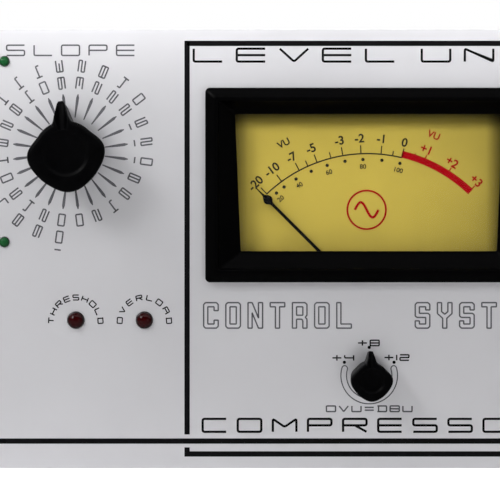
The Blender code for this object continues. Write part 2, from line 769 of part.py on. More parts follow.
def toroid():
    """The mains transformer, held to the base by a dished plate and one bolt."""
    cx, cy = TOROID_XY
    bottom = SHEET + GAP
    middle, half_w = (TOROID_R + TOROID_HOLE) / 2, (TOROID_R - TOROID_HOLE) / 2
    half_h = TOROID_H / 2
    squash = 0.5  # squarer than an ellipse, as wound wire packs
    profile = []
    for angle in range(0, 360, 30):
        c, s = math.cos(math.radians(angle)), math.sin(math.radians(angle))
        profile.append((
            middle + half_w * math.copysign(abs(c) ** squash, c),
            half_h + half_h * math.copysign(abs(s) ** squash, s),
        ))
    winding = upright(lathe(profile, 30, closed=True))
    build("toroid_winding", moved(winding, (cx, cy, bottom)), "winding")
    over = bottom + TOROID_H + GAP
    dish = -2.8  # the plate's hub is pressed down into the hole of the winding
    plate = [
        (3.5, dish), (9.0, dish), (13.4, 1.2), (34.0, 1.2), (34.0, 0.0), (14.0, 0.0),
        (9.6, dish - 1.2), (3.5, dish - 1.2),
    ]
    clamp = upright(lathe(plate, 24, closed=True))
    build("toroid_clamp_plate", moved(clamp, (cx, cy, over)), "sheet_metal")
    head = over + dish + GAP
    bolt = build("toroid_bolt", upright(cylinder(3.0, 0.2, head + 1, 16)), "steel", (cx, cy, 0))
    join(bolt, upright(cylinder(5.6, head, head + 4.0, 6)))


def heat_sink():
    """A finned block for the regulators, standing on the power board."""
    fins, pitch, fin, base, depth = 8, 6.0, 2.0, 4.0, 22.0
    outline = [(0.0, 0.0)]
    for i in range(fins):
        x = i * pitch
        outline += [(x, depth), (x + fin, depth)]
        if i < fins - 1:
            outline += [(x + fin, base), (x + pitch, base)]
    outline.append(((fins - 1) * pitch + fin, 0.0))
    cx, cy = POWER_BOARD["centre"]
    place = (cx - 48, cy + 20, ON_BOARD)
    build("heat_sink", moved(upright(prism(outline, 0, 38)), place), "black_paint", smooth=False)


def plug_in_card(name, x):
    """A card that stands across the main board, with its parts on one side."""
    sheet = block((x, -60, ON_BOARD + 6), (x + BOARD_T, 40, ON_BOARD + 62))
    card = build(name, sheet, "board", smooth=False)
    join(card, block((x - 2.5, -50, ON_BOARD), (x + BOARD_T + 2.5, 30, ON_BOARD + 8)))
    along_x = Matrix.Rotation(-math.pi / 2, 3, "Z")
    face = x + BOARD_T - 0.4
    cans = [
        moved(cylinder(4.0, 0, 7.0, 12), (face, -42 + 22 * i, ON_BOARD + 40), along_x) for i in range(4)
    ]
    join(card, together(cans))


def electronics():
    circuit_board("power_board", POWER_BOARD)
    circuit_board("main_board", MAIN_BOARD)
    px, py = POWER_BOARD["centre"]
    can("filter_capacitor_left", (px - 28, py - 18), 11.0, 42.0, "capacitor")
    can("filter_capacitor_right", (px + 2, py - 18), 11.0, 42.0, "capacitor")
    heat_sink()
    mx, my = MAIN_BOARD["centre"]
    can("input_transformer", (mx + 84, my + 58), 16.0, 36.0, "steel", segments=24)
    core = block((-20, -20, 0), (20, 20, 34))
    bobbin = block((-14, -25, 5), (14, 25, 29))
    place = (mx + 38, my + 58, ON_BOARD)
    transformer = build("output_transformer", core, "steel", place, smooth=False)
    join(transformer, bobbin)
    plug_in_card("gain_card", mx - 70)
    plug_in_card("detector_card", mx - 30)


# ---------------------------------------------------------------- rear connectors


def flange(half_w, half_h, thickness):
    """The rounded plate of a connector, flat against the outside of the rear panel."""
    return prism(rounded_rectangle(half_w, half_h, 2.5, 3), CONNECTOR_FACE, CONNECTOR_FACE + thickness)


def pin_circle(radius, y0, y1, start):
    """Three round pins or holes, the first of them start degrees from straight up."""
    shapes = []
    for turn in (0, 120, 240):
        angle = math.radians(start + turn)
        offset = (XLR_PIN_CIRCLE * math.sin(angle), 0, XLR_PIN_CIRCLE * math.cos(angle))
        shapes.append(moved(cylinder(radius, y0, y1, 10), offset))
    return shapes


def xlr_shell(name, place, depth):
    shell = build(name, flange(13.0, 15.5, 2.0), "black_paint", place)
    return join(shell, cylinder(XLR_SHELL_R, REAR - depth, CONNECTOR_FACE + 1, 28))


def input_xlr():
    """The input socket, with the tab that lets its plug go."""
    place = (XLR_IN_X, 0, CONNECTOR_Z)
    open_end = CONNECTOR_FACE + 5
    bottom = REAR - 12
    socket = xlr_shell("input_xlr_socket", place, 20)
    groove = lathe([(7.6, bottom), (9.4, bottom), (9.4, open_end), (7.6, open_end)], 24, closed=True)
    cut(socket, groove, *pin_circle(1.4, bottom, open_end, 60))
    cut(socket, block((-4.3, REAR - 6, 6.0), (4.3, open_end, 11.3)))
    tab = block((-4.0, REAR - 4.5, 8.0), (4.0, CONNECTOR_FACE + 3.6, 11.0))
    build("input_xlr_release_tab", tab, "steel", place, smooth=False)


def output_xlr():
    """The output plug, with three pins in its shell."""
    plug = xlr_shell("output_xlr_plug", (XLR_OUT_X, 0, CONNECTOR_Z), 18)
    cut(plug, cylinder(XLR_SHELL_R - 2.4, REAR - 14, CONNECTOR_FACE + 5, 28))
    join(plug, together(pin_circle(1.2, REAR - 15, REAR - 1, 0)))


def power_inlet():
    """The mains inlet with a fuse drawer under it."""
    place = (INLET_X, 0, CONNECTOR_Z)
    inlet = build("power_inlet", flange(16.5, 26.5, 2.5), "black_plastic", place)
    body = rounded_rectangle(INLET_HALF_W, INLET_HALF_H, 1.0, 2)
    join(inlet, prism(body, REAR - 26, CONNECTOR_FACE + 1))
    mouth = [(-12.2, 15.0), (-12.2, -2.5), (12.2, -2.5), (12.2, 15.0), (8.0, 19.5), (-8.0, 19.5)]
    bay_w, bay_h = DRAWER_HALF_W + GAP, DRAWER_HALF_H + GAP
    bay = block(
        (-bay_w, REAR - 24, DRAWER_Z - bay_h), (bay_w, CONNECTOR_FACE + 5, DRAWER_Z + bay_h)
    )
    cut(inlet, prism(mouth, REAR - 14, CONNECTOR_FACE + 5), bay)
    pins = [
        block((x - 1.0, REAR - 15, z - 2.0), (x + 1.0, REAR + 0.5, z + 2.0))
        for x, z in ((-7, 6), (0, 10), (7, 6))
    ]
    join(inlet, together(pins))


def fuse_drawer():
    """The drawer with a finger ridge on its front, and the glass fuse in its trough."""
    place = (INLET_X, 0, CONNECTOR_Z + DRAWER_Z)
    body = block(
        (-DRAWER_HALF_W, REAR - 23.5, -DRAWER_HALF_H),
        (DRAWER_HALF_W, CONNECTOR_FACE + 2.2, DRAWER_HALF_H),
    )
    drawer = build("fuse_drawer", body, "black_plastic", place, smooth=False)
    join(drawer, block((-6, CONNECTOR_FACE + 1.5, -1.2), (6, CONNECTOR_FACE + 4.2, 1.2)))
    cut(drawer, block((-3.4, REAR - 22, -2.9), (3.4, REAR - 0.5, 6)))
    fuse = moved(cylinder(2.5, REAR - 21.6, REAR - 1.2, 12), (0, 0, GAP))
    build("fuse", fuse, "clear", place)


def ground_post():
    """A screw terminal for the rack's ground lead: collar, thumb nut and stud."""
    collar_r, nut_r = 6.5, 6.0
    collar_end, nut_start, nut_end, end = REAR + 2.0, REAR + 4.0, REAR + 10.0, REAR + 14.0
    profile = [
        (0, REAR - 10), (POST_R, REAR - 10), (POST_R, CONNECTOR_FACE), (collar_r, CONNECTOR_FACE),
        (collar_r, collar_end), (POST_R, collar_end), (POST_R, nut_start), (nut_r, nut_start),
        (nut_r, nut_end), (POST_R, nut_end), (POST_R, end), (0, end),
    ]
    build("ground_post", lathe(profile, 18), "brass", (POST_X, 0, CONNECTOR_Z))


def clear_scene():
    for obj in list(bpy.data.objects):
        bpy.data.objects.remove(obj)


clear_scene()
front_panel()
panel_screws()
chassis_tray()
top_cover()
rear_panel()
rotary_controls()
toggle("bypass", -TOGGLE_X)
toggle("power", TOGGLE_X)
lamps()
meter_bezel()
meter_case()
meter_glass_and_dial()
meter_movement()
electronics()
toroid()
input_xlr()
output_xlr()
power_inlet()
fuse_drawer()
ground_post()
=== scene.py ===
"""Looks of the rack compressor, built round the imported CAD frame.

Shapes are drawn in millimetres and piece() turns them to metres. The axes are the CAD's: +X to the
right of the front panel, +Y into the rack and +Z up, with the origin under the middle of the chassis.
"""

import json
import math
import random

import bmesh
import bpy
from mathutils import Matrix, Vector

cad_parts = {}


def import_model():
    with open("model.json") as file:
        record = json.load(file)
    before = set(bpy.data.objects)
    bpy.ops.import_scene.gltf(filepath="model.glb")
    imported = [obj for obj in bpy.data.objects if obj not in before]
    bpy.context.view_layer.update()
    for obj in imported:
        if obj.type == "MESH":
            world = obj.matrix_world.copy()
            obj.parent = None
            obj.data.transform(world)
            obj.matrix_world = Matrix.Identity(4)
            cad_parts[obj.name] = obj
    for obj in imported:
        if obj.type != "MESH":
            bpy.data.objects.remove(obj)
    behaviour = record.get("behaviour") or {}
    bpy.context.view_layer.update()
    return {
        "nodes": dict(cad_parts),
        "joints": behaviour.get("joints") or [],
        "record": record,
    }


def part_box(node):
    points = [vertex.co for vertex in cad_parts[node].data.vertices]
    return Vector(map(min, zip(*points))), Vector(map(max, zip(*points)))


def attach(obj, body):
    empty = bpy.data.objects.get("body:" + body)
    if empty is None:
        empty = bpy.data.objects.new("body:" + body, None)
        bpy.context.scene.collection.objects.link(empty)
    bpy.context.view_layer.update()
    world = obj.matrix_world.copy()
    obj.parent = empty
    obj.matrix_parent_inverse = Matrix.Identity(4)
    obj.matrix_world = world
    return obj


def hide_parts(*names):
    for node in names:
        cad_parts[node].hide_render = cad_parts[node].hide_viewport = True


MM = 0.001
TAU = 2 * math.pi
SHARP = math.radians(32)  # faces that meet at more than this keep a sharp edge
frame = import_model()
NODES = frame["nodes"]
JOINTS = {j["name"]: j for j in frame["joints"]}
SLOT_OF = {s["node"]: s["material_slot"] for s in frame["record"]["subparts"]}


def box_mm(node):
    """Lowest corner, highest corner and middle of a CAD node, in millimetres."""
    low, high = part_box(node)
    return low / MM, high / MM, (low + high) / 2 / MM


PANEL_LOW, _, PANEL_MID = box_mm("front_panel")
FACE, MID_Z = PANEL_LOW.y, PANEL_MID.z
REAR = box_mm("rear_panel")[1].y


def axis_mm(joint):
    return Vector(JOINTS[joint]["pos_m"]) / MM


def level_with(node):
    """The point beside a CAD node's middle, at y = 0."""
    middle = box_mm(node)[2]
    return (middle.x, 0, middle.z)


# ---------------------------------------------------------------- shapes


def loft(rings, closed=False):
    """A solid through rings of 3-D points. A ring may be one point. Ends are capped unless closed."""
    bm = bmesh.new()
    made = [[bm.verts.new(p) for p in ring] for ring in rings]
    pairs = list(zip(made, made[1:]))
    if closed:
        pairs.append((made[-1], made[0]))
    for a, b in pairs:
        count = max(len(a), len(b))
        for i in range(count):
            j = (i + 1) % count
            corners = [a[i % len(a)], a[j % len(a)], b[j % len(b)], b[i % len(b)]]
            bm.faces.new(list(dict.fromkeys(corners)))
    if not closed:
        for end in (made[0], made[-1]):
            if len(end) > 2:
                bm.faces.new(end)
    bmesh.ops.recalc_face_normals(bm, faces=bm.faces)
    return bm


def at_y(outline, y):
    return [(x, y, z) for x, z in outline]


def circle(radius, segments=48):
    turns = [TAU * i / segments for i in range(segments)]
    return [(radius * math.sin(turn), radius * math.cos(turn)) for turn in turns]


def rounded_corners(corners, radius, steps=6):
    """Points round four corners, which go anticlockwise from the upper right one."""
    points = []
    for i, (x, z) in enumerate(corners):
        cx, cz = x - math.copysign(radius, x), z - math.copysign(radius, z)
        for k in range(steps + 1):
            angle = math.radians(90 * (i + k / steps))
            points.append((cx + radius * math.cos(angle), cz + radius * math.sin(angle)))
    return points


def rounded_rectangle(half_w, half_h, radius, steps=6):
    corners = [(half_w, half_h), (-half_w, half_h), (-half_w, -half_h), (half_w, -half_h)]
    return rounded_corners(corners, radius, steps)


def lathe(profile, segments=48, closed=False):
    """(radius, y) points turned about the Y axis."""
    rings = [[(0.0, y, 0.0)] if r == 0 else at_y(circle(r, segments), y) for r, y in profile]
    return loft(rings, closed)


def prism(outline, y0, y1):
    return loft([at_y(outline, y0), at_y(outline, y1)])


def block(low, high):
    low, high = Vector(low), Vector(high)
    bm = bmesh.new()
    bmesh.ops.create_cube(bm, size=1.0)
    bm.transform(Matrix.Translation((low + high) / 2) @ Matrix.Diagonal((*(high - low), 1.0)))
    return bm


def moved(bm, offset=(0, 0, 0), turn=0.0, axis="X"):
    if turn:
        bm.transform(Matrix.Rotation(math.radians(turn), 4, axis))
    bm.transform(Matrix.Translation(offset))
    return bm


def together(shapes):
    whole = bmesh.new()
    for shape in shapes:
        mesh = bpy.data.meshes.new("shape")
        shape.to_mesh(mesh)
        shape.free()
        whole.from_mesh(mesh)
        bpy.data.meshes.remove(mesh)
    return whole


def soften(target, width):
    modifier = target.modifiers.new("Bevel", "BEVEL")
    modifier.width = width * MM
    modifier.segments = 3
    modifier.limit_method = "ANGLE"
    modifier.harden_normals = True


def object_of(name, bm, material):
    """An object at the origin from a shape in millimetres."""
    bm.transform(Matrix.Scale(MM, 4))
    mesh = bpy.data.meshes.new(name)
    bm.to_mesh(mesh)
    bm.free()
    mesh.materials.append(material)
    mesh.shade_smooth()
    mesh.set_sharp_from_angle(angle=SHARP)
    made = bpy.data.objects.new(name, mesh)
    bpy.context.scene.collection.objects.link(made)
    return made


def piece(name, bm, finish_name, body="chassis", at=(0, 0, 0), turn=(0, 0, 0), replaces=None, bevel=0.0):
    """An object placed in millimetres, riding on a CAD body and maybe standing for a CAD node."""
    made = object_of(name, bm, F[finish_name])
    made.location = Vector(at) * MM
    made.rotation_euler = [math.radians(a) for a in turn]
    if bevel:
        soften(made, bevel)
    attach(made, body)
    if replaces:
        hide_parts(replaces)
    return made


def carve(target, shapes):
    """Cuts shapes, drawn in target's own millimetres, out of target."""
    cutter = object_of("cutter", together(shapes), target.data.materials[0])
    bpy.context.view_layer.update()
    cutter.matrix_world = target.matrix_world
    bpy.context.view_layer.update()
    modifier = target.modifiers.new("Cut", "BOOLEAN")
    modifier.operation = "DIFFERENCE"
    modifier.solver = "EXACT"
    modifier.use_self = True
    modifier.object = cutter
    graph = bpy.context.evaluated_depsgraph_get()
    shaped = bpy.data.meshes.new_from_object(target.evaluated_get(graph))
    target.modifiers.clear()
    target.data = shaped
    shaped.set_sharp_from_angle(angle=SHARP)
    bpy.data.objects.remove(cutter)


# ---------------------------------------------------------------- finishes


def add(tree, kind, inputs=None, **settings):
    """A shader node. Each of its inputs is a plain value or another node's output."""
    made = tree.nodes.new(f"ShaderNode{kind}")
    for key, value in settings.items():
        setattr(made, key, value)
    for key, value in (inputs or {}).items():
        if isinstance(value, bpy.types.NodeSocket):
            tree.links.new(value, made.inputs[key])
        else:
            made.inputs[key].default_value = value
    return made


def new_material(name):
    made = bpy.data.materials.new(name)
    made.use_nodes = True
    tree = made.node_tree
    return made, tree, tree.nodes["Principled BSDF"]


def here(tree):
    """The place of the point being shaded, in metres."""
    return add(tree, "TexCoord").outputs["Object"]


def place_of(tree, stretch=(1, 1, 1)):
    """The same place in millimetres, scaled along each axis by stretch."""
    scale = [s / MM for s in stretch]
    return add(tree, "Mapping", {"Vector": here(tree), "Scale": scale}).outputs["Vector"]


def noise(tree, size_mm, detail=4.0, stretch=(1, 1, 1)):
    """Noise from 0 to 1 whose features are about size_mm across."""
    inputs = {"Vector": place_of(tree, stretch), "Scale": 1 / size_mm, "Detail": detail, "Roughness": 0.55}
    return add(tree, "TexNoise", inputs).outputs["Fac"]


def between(tree, value, low, high, to_low=0.0, to_high=1.0):
    inputs = {"Value": value, "From Min": low, "From Max": high, "To Min": to_low, "To Max": to_high}
    return add(tree, "MapRange", inputs).outputs["Result"]


def maths(tree, operation, a, b=0.0):
    return add(tree, "Math", {0: a, 1: b}, operation=operation).outputs[0]


def mixed(tree, factor, a, b):
    return add(tree, "Mix", {0: factor, 6: a, 7: b}, data_type="RGBA").outputs[2]


def shade(colour, share=1.0):
    return (*[min(1.0, c * share) for c in colour], 1.0)


def worn_edges(tree, radius_mm, patch_mm):
    """A mask that is 1 on sharp edges, broken into patches."""
    soft = add(tree, "Bevel", {"Radius": radius_mm * MM}, samples=4).outputs["Normal"]
    true = add(tree, "NewGeometry").outputs["Normal"]
    same = add(tree, "VectorMath", {0: soft, 1: true}, operation="DOT_PRODUCT").outputs["Value"]
    edge = between(tree, same, 0.995, 0.85)
    return maths(tree, "MULTIPLY", edge, between(tree, noise(tree, patch_mm), 0.42, 0.62))


def finish(
    name, colour, rough=0.4, metallic=0.0, specular=0.5, mottle=0.08, mottle_mm=12.0, grain=0.1,
    grain_mm=0.4, stretch=(1, 1, 1), rough_range=0.08, wear=None, wear_mm=0.5, round_mm=0.15,
):
    """Mottled colour, uneven roughness, a fine grain in the surface, and rounded, maybe worn, edges."""
    made, tree, shader = new_material(name)
    clouds = noise(tree, mottle_mm)
    cloudy = between(tree, clouds, 0.3, 0.7)
    base = mixed(tree, cloudy, shade(colour, 1 - mottle), shade(colour, 1 + mottle))
    fine = noise(tree, grain_mm, 3.0, stretch)
    if wear:
        base = mixed(tree, worn_edges(tree, wear_mm, 3.0), base, shade(wear))
    rounded = add(tree, "Bevel", {"Radius": round_mm * MM}, samples=4).outputs["Normal"]
    bumps = add(tree, "Bump", {"Height": fine, "Strength": grain, "Distance": 0.05 * MM, "Normal": rounded})
    both = maths(tree, "ADD", clouds, fine)
    uneven = between(tree, both, 0.6, 1.4, rough - rough_range, rough + rough_range)
    for key, value in (("Base Color", base), ("Roughness", uneven), ("Normal", bumps.outputs["Normal"])):
        tree.links.new(value, shader.inputs[key])
    shader.inputs["Metallic"].default_value = metallic
    shader.inputs["Specular IOR Level"].default_value = specular
    return made


def recolour(made, paint):
    """Puts paint(tree, colour so far) in place of a material's colour."""
    tree = made.node_tree
    colour_in = tree.nodes["Principled BSDF"].inputs["Base Color"]
    tree.links.new(paint(tree, colour_in.links[0].from_socket), colour_in)
    return made


def clear_finish(name, tint, reflect):
    """Thin clear plastic: it lets light straight through and reflects a little, more at a slant."""
    made, tree, shader = new_material(name)
    tree.nodes.remove(shader)
    smudge = between(tree, noise(tree, 14.0), 0.3, 0.7, 0.03, 0.12)
    through = add(tree, "BsdfTransparent", {"Color": shade(tint)}).outputs[0]
    bounce = add(tree, "BsdfGlossy", {"Roughness": smudge}).outputs[0]
    facing = add(tree, "LayerWeight", {"Blend": 0.3}).outputs["Fresnel"]
    share = maths(tree, "MULTIPLY", facing, reflect)
    blend = add(tree, "MixShader", {0: share, 1: through, 2: bounce}).outputs[0]
    tree.links.new(blend, tree.nodes["Material Output"].inputs["Surface"])
    return made


def lens_finish(name, colour, painted_centre_highlight):
    """Tinted epoxy with a painted highlight: paler in the middle, where the dome faces the camera. The die
    deep in the middle is real, but its paleness is painted light.
    """
    made = finish(
        name, colour, rough=0.16, specular=0.1, mottle=0.12, mottle_mm=1.5, grain=0.03, rough_range=0.04,
    )

    def paint(tree, base):
        facing = add(tree, "LayerWeight", {"Blend": 0.45}).outputs["Facing"]
        # painted highlight: the paler colour is mixed in where the dome faces the camera
        return mixed(tree, between(tree, facing, 0.0, 0.6), shade(painted_centre_highlight), base)

    return recolour(made, paint)


def board_finish(name, colour):
    """Lacquered laminate with copper tracks under the lacquer and the weave of the cloth in it."""
    made = finish(name, colour, rough=0.3, mottle=0.1, mottle_mm=20.0, grain=0.12, grain_mm=0.8)

    def paint(tree, base):
        tracks = add(tree, "TexBrick", {
            "Vector": place_of(tree), "Scale": 0.12, "Mortar Size": 0.035, "Brick Width": 0.9,
            "Row Height": 0.35, "Color1": shade((0, 0, 0)), "Color2": shade((0, 0, 0)),
            "Mortar": shade((1, 1, 1)),
        })
        return mixed(tree, tracks.outputs["Color"], base, shade(colour, 2.2))

    return recolour(made, paint)


def wound_finish(name, colour, turns):
    """Tape or wire wrapped round a ring: bands that fan out from the ring's middle."""
    made = finish(name, colour, rough=0.35, specular=0.4, mottle=0.12, mottle_mm=6.0)
    middle = box_mm("toroid_winding")[2]

    def paint(tree, base):
        inputs = {0: here(tree), 1: middle * MM}
        from_middle = add(tree, "VectorMath", inputs, operation="SUBTRACT").outputs["Vector"]
        parts = add(tree, "SeparateXYZ", {"Vector": from_middle})
        angle = maths(tree, "ARCTAN2", parts.outputs["Y"], parts.outputs["X"])
        band = maths(tree, "SINE", maths(tree, "MULTIPLY", angle, turns))
        ridges = add(tree, "Bump", {"Height": band, "Strength": 0.5, "Distance": 0.3 * MM})
        tree.links.new(ridges.outputs["Normal"], tree.nodes["Principled BSDF"].inputs["Normal"])
        return mixed(tree, between(tree, band, 0.75, 1.0), base, shade(colour, 0.55))

    return recolour(made, paint)


def card_finish(name, colour):
    """Printed card with painted shade: nearly black under the top edge of the bezel, darker under its side
    edges, and a little darker away to the right.
    """
    made = finish(
        name, colour, rough=0.62, specular=0.12, mottle=0.035, mottle_mm=9.0, grain=0.12, grain_mm=0.25,
        rough_range=0.05,
    )
    mid_z = box_mm("meter_bezel")[2].z

    def paint(tree, base):
        parts = add(tree, "SeparateXYZ", {"Vector": here(tree)})
        x, z = (maths(tree, "DIVIDE", parts.outputs[axis], MM) for axis in ("X", "Z"))
        # painted shade, not a colour of the card: the bezel's shadow across the top, down the sides and
        # towards the right
        top = between(tree, z, mid_z + 21.6, mid_z + 18.3, 0.06, 1.0)
        painted_side_shade = between(tree, maths(tree, "ABSOLUTE", x), 40.4, 36.4, 0.35, 1.0)
        right = between(tree, x, 8.0, 40.0, 1.0, 0.8)
        share = maths(tree, "MULTIPLY", maths(tree, "MULTIPLY", top, painted_side_shade), right)
        return mixed(tree, share, shade(colour, 0.02), base)

    return recolour(made, paint)


STEEL = (0.62, 0.62, 0.63)
BRASS = (0.72, 0.55, 0.26)
PLAIN_FINISHES = {
    "anodised_aluminium": dict(
        colour=(0.675, 0.67, 0.695), rough=0.42, metallic=0.75, mottle=0.02, mottle_mm=40.0, grain_mm=0.25,
        stretch=(0.08, 1, 1), rough_range=0.03, wear=(0.9, 0.9, 0.92), wear_mm=0.4,
    ),
    "chassis_steel": dict(
        colour=(0.50, 0.51, 0.52), metallic=0.85, mottle=0.05, mottle_mm=55.0, grain=0.16, grain_mm=0.35,
        stretch=(0.06, 1, 1), rough_range=0.035, wear=(0.75, 0.75, 0.75), round_mm=0.3,
    ),
    "fastener_steel": dict(colour=(0.42, 0.42, 0.43), rough=0.3, metallic=1.0, mottle_mm=2.0, wear=STEEL),
    "knob_plastic": dict(
        colour=(0.0009, 0.0009, 0.0011), rough=0.38, specular=0.02, mottle=0.3, mottle_mm=4.0, grain=0.12,
        grain_mm=0.3, wear=(0.006, 0.006, 0.006), round_mm=0.3,
    ),
    "shaft_steel": dict(
        colour=STEEL, rough=0.25, metallic=1.0, grain=0.2, grain_mm=0.3, stretch=(1, 8, 1), mottle_mm=3.0,
    ),
    "switch_housing": dict(colour=(0.6, 0.58, 0.52), rough=0.33, metallic=1.0, mottle=0.15, mottle_mm=5.0),
    "bezel_plastic": dict(
        colour=(0.0005, 0.0005, 0.0006), rough=0.34, specular=0.018, mottle=0.25, mottle_mm=9.0,
        grain=0.15, grain_mm=0.35, wear=(0.005, 0.005, 0.0055), round_mm=0.25,
    ),
    "magnet_iron": dict(colour=(0.22, 0.22, 0.23), rough=0.5, metallic=0.9, mottle=0.2, mottle_mm=2.0),
    "movement_brass": dict(colour=BRASS, rough=0.3, metallic=1.0, mottle=0.1, mottle_mm=3.0),
    "coil_copper": dict(colour=(0.42, 0.15, 0.07), rough=0.35, metallic=0.8, grain=0.6, grain_mm=0.2),
    "pointer_paint": dict(colour=(0.003, 0.003, 0.003), rough=0.6, specular=0.05, mottle=0.2),
    "toggle_housing": dict(colour=(0.012, 0.012, 0.013), rough=0.35, specular=0.4, mottle_mm=3.0),
    "toggle_lever_chrome": dict(
        colour=(0.85, 0.85, 0.86), rough=0.12, metallic=1.0, mottle=0.03, rough_range=0.05,
    ),
    "transformer_steel": dict(
        colour=(0.5, 0.5, 0.5), rough=0.35, metallic=1.0, mottle=0.12, grain=0.4, grain_mm=0.5,
        stretch=(1, 1, 0.05),
    ),
    "capacitor_sleeve": dict(colour=(0.02, 0.045, 0.16), rough=0.28, mottle=0.08, mottle_mm=6.0),
    "heat_sink_aluminium": dict(
        colour=(0.02, 0.02, 0.021), rough=0.45, metallic=0.5, grain=0.25, stretch=(1, 1, 0.1),
        wear=(0.3, 0.3, 0.3),
    ),
    "connector_black": dict(
        colour=(0.014, 0.014, 0.015), specular=0.4, mottle_mm=5.0, wear=(0.25, 0.25, 0.25),
    ),
    "release_tab_steel": dict(colour=STEEL, rough=0.3, metallic=1.0, mottle_mm=3.0),
    "inlet_plastic": dict(colour=(0.012, 0.012, 0.012), specular=0.4, grain=0.3, mottle_mm=6.0),
    "post_brass": dict(colour=BRASS, rough=0.3, metallic=1.0, mottle=0.12, mottle_mm=3.0),
    "black_ink": dict(colour=(0.003, 0.003, 0.0035), rough=0.5, specular=0.05, mottle=0.3, mottle_mm=2.0),
    "grey_ink": dict(colour=(0.088, 0.088, 0.098), rough=0.5, specular=0.2, mottle=0.2, mottle_mm=2.0),
    "red_ink": dict(colour=(0.36, 0.0015, 0.005), rough=0.55, specular=0.06, mottle_mm=2.0),
    "dial_black_ink": dict(colour=(0.02, 0.018, 0.012), rough=0.6, specular=0.1, mottle=0.2),
    "recess_shadow": dict(colour=(0.01, 0.01, 0.01), rough=0.7, mottle_mm=1.0),
    "component_epoxy": dict(colour=(0.02, 0.02, 0.02), rough=0.5, mottle_mm=3.0),
    "resistor_body": dict(colour=(0.35, 0.25, 0.14), mottle_mm=2.0),
    "tinned_wire": dict(colour=(0.7, 0.7, 0.68), rough=0.3, metallic=1.0, mottle_mm=1.0),
    "wire_grey": dict(colour=(0.22, 0.22, 0.23), rough=0.45, mottle=0.15, mottle_mm=2.0),
    "wire_red": dict(colour=(0.3, 0.02, 0.02), mottle=0.15, mottle_mm=2.0),
    "wire_black": dict(colour=(0.015, 0.015, 0.015), mottle=0.2, mottle_mm=2.0),
}
F = {name: finish(name, **settings) for name, settings in PLAIN_FINISHES.items()}
F["window_clear"] = clear_finish("window_clear", (0.985, 0.985, 0.98), 0.18)
F["fuse_glass"] = clear_finish("fuse_glass", (0.92, 0.95, 0.93), 1.0)
F["dial_paint"] = card_finish("dial_paint", (0.535, 0.415, 0.072))
F["lamp_board_laminate"] = board_finish("lamp_board_laminate", (0.03, 0.13, 0.05))
F["red_lens"] = lens_finish("red_lens", (0.008, 0.0006, 0.0008), (0.024, 0.0010, 0.0014))
F["green_lens"] = lens_finish("green_lens", (0.004, 0.036, 0.010), (0.008, 0.075, 0.02))
F["transformer_wrap"] = wound_finish("transformer_wrap", (0.52, 0.33, 0.07), 34)
for node_name, cad_node in NODES.items():
    cad_node.data.materials.clear()
    cad_node.data.materials.append(F[SLOT_OF[node_name]])

# ---------------------------------------------------------------- printing

INK_LIFT, INK_GAP = 0.03, 0.004  # how far the front and back of the ink stand off the face

# Strokes of each character on a grid from 0 to 8 both ways, as pairs of digits: across, then up.
GLYPHS = {
    "A": "00088880 0484", "B": "0008888000 0484", "C": "80000888", "D": "00808808 1018",
    "E": "80000888 0484", "H": "0008 8088 0484", "I": "0008", "L": "080080", "M": "0008438880",
    "N": "00088088", "O": "0008888000", "P": "0008888404", "R": "0008888404 4480", "S": "880804848000",
    "T": "0888 4048", "U": "08008088", "V": "084088", "W": "0820486088", "Y": "084488 4440",
    "0": "0008888000", "1": "0008", "2": "088884040080", "3": "08888000 2484", "4": "080484 8088",
    "5": "880804848000", "6": "880800808404", "7": "088880", "8": "0008888000 0484",
    "9": "008088080484", "=": "0282 0686", "+": "0484 4048",
}
THIN = "I1"  # characters that are one upright stroke


def strokes_of(character):
    for stroke in GLYPHS[character].split():
        yield [(int(stroke[i]) / 8, int(stroke[i + 1]) / 8) for i in range(0, len(stroke) - 1, 2)]


def round_corners(points, radius, closed, steps=3):
    """A line with its corners rounded off."""
    count = len(points)
    made = []
    for i, point in enumerate(points):
        if not closed and i in (0, count - 1):
            made.append(point)
            continue
        before, corner, after = Vector(points[i - 1]), Vector(point), Vector(points[(i + 1) % count])
        to_before, to_after = before - corner, after - corner
        cutoff = min(radius, to_before.length / 2, to_after.length / 2)
        start, end = corner + to_before.normalized() * cutoff, corner + to_after.normalized() * cutoff
        for k in range(steps + 1):
            t = k / steps
            made.append(tuple(start * (1 - t) ** 2 + corner * 2 * t * (1 - t) + end * t * t))
    return made


def strip(points, width, closed=False):
    """The two sides of a flat line through 2-D points, mitred at its corners."""
    count = len(points)
    left, right = [], []
    for i in range(count):
        corner = Vector(points[i])
        before = Vector(points[i - 1]) if closed or i else corner
        after = Vector(points[(i + 1) % count]) if closed or i < count - 1 else corner
        way_in = (corner - before).normalized() if before != corner else (after - corner).normalized()
        way_out = (after - corner).normalized() if after != corner else way_in
        along = (way_in + way_out).normalized()
        normal = Vector((-along.y, along.x))
        reach = width / 2 / max(0.35, normal.dot(Vector((-way_out.y, way_out.x))))
        left.append(corner + normal * reach)
        right.append(corner - normal * reach)
    return left, right


def polar(centre, radius, clockwise):
    """A point at an angle clockwise from straight up."""
    angle = math.radians(clockwise)
    return (centre[0] + radius * math.sin(angle), centre[1] + radius * math.cos(angle))


def panel_z(z):
    """A height above the middle of the panel, as a height in the CAD."""
    return MID_Z + z


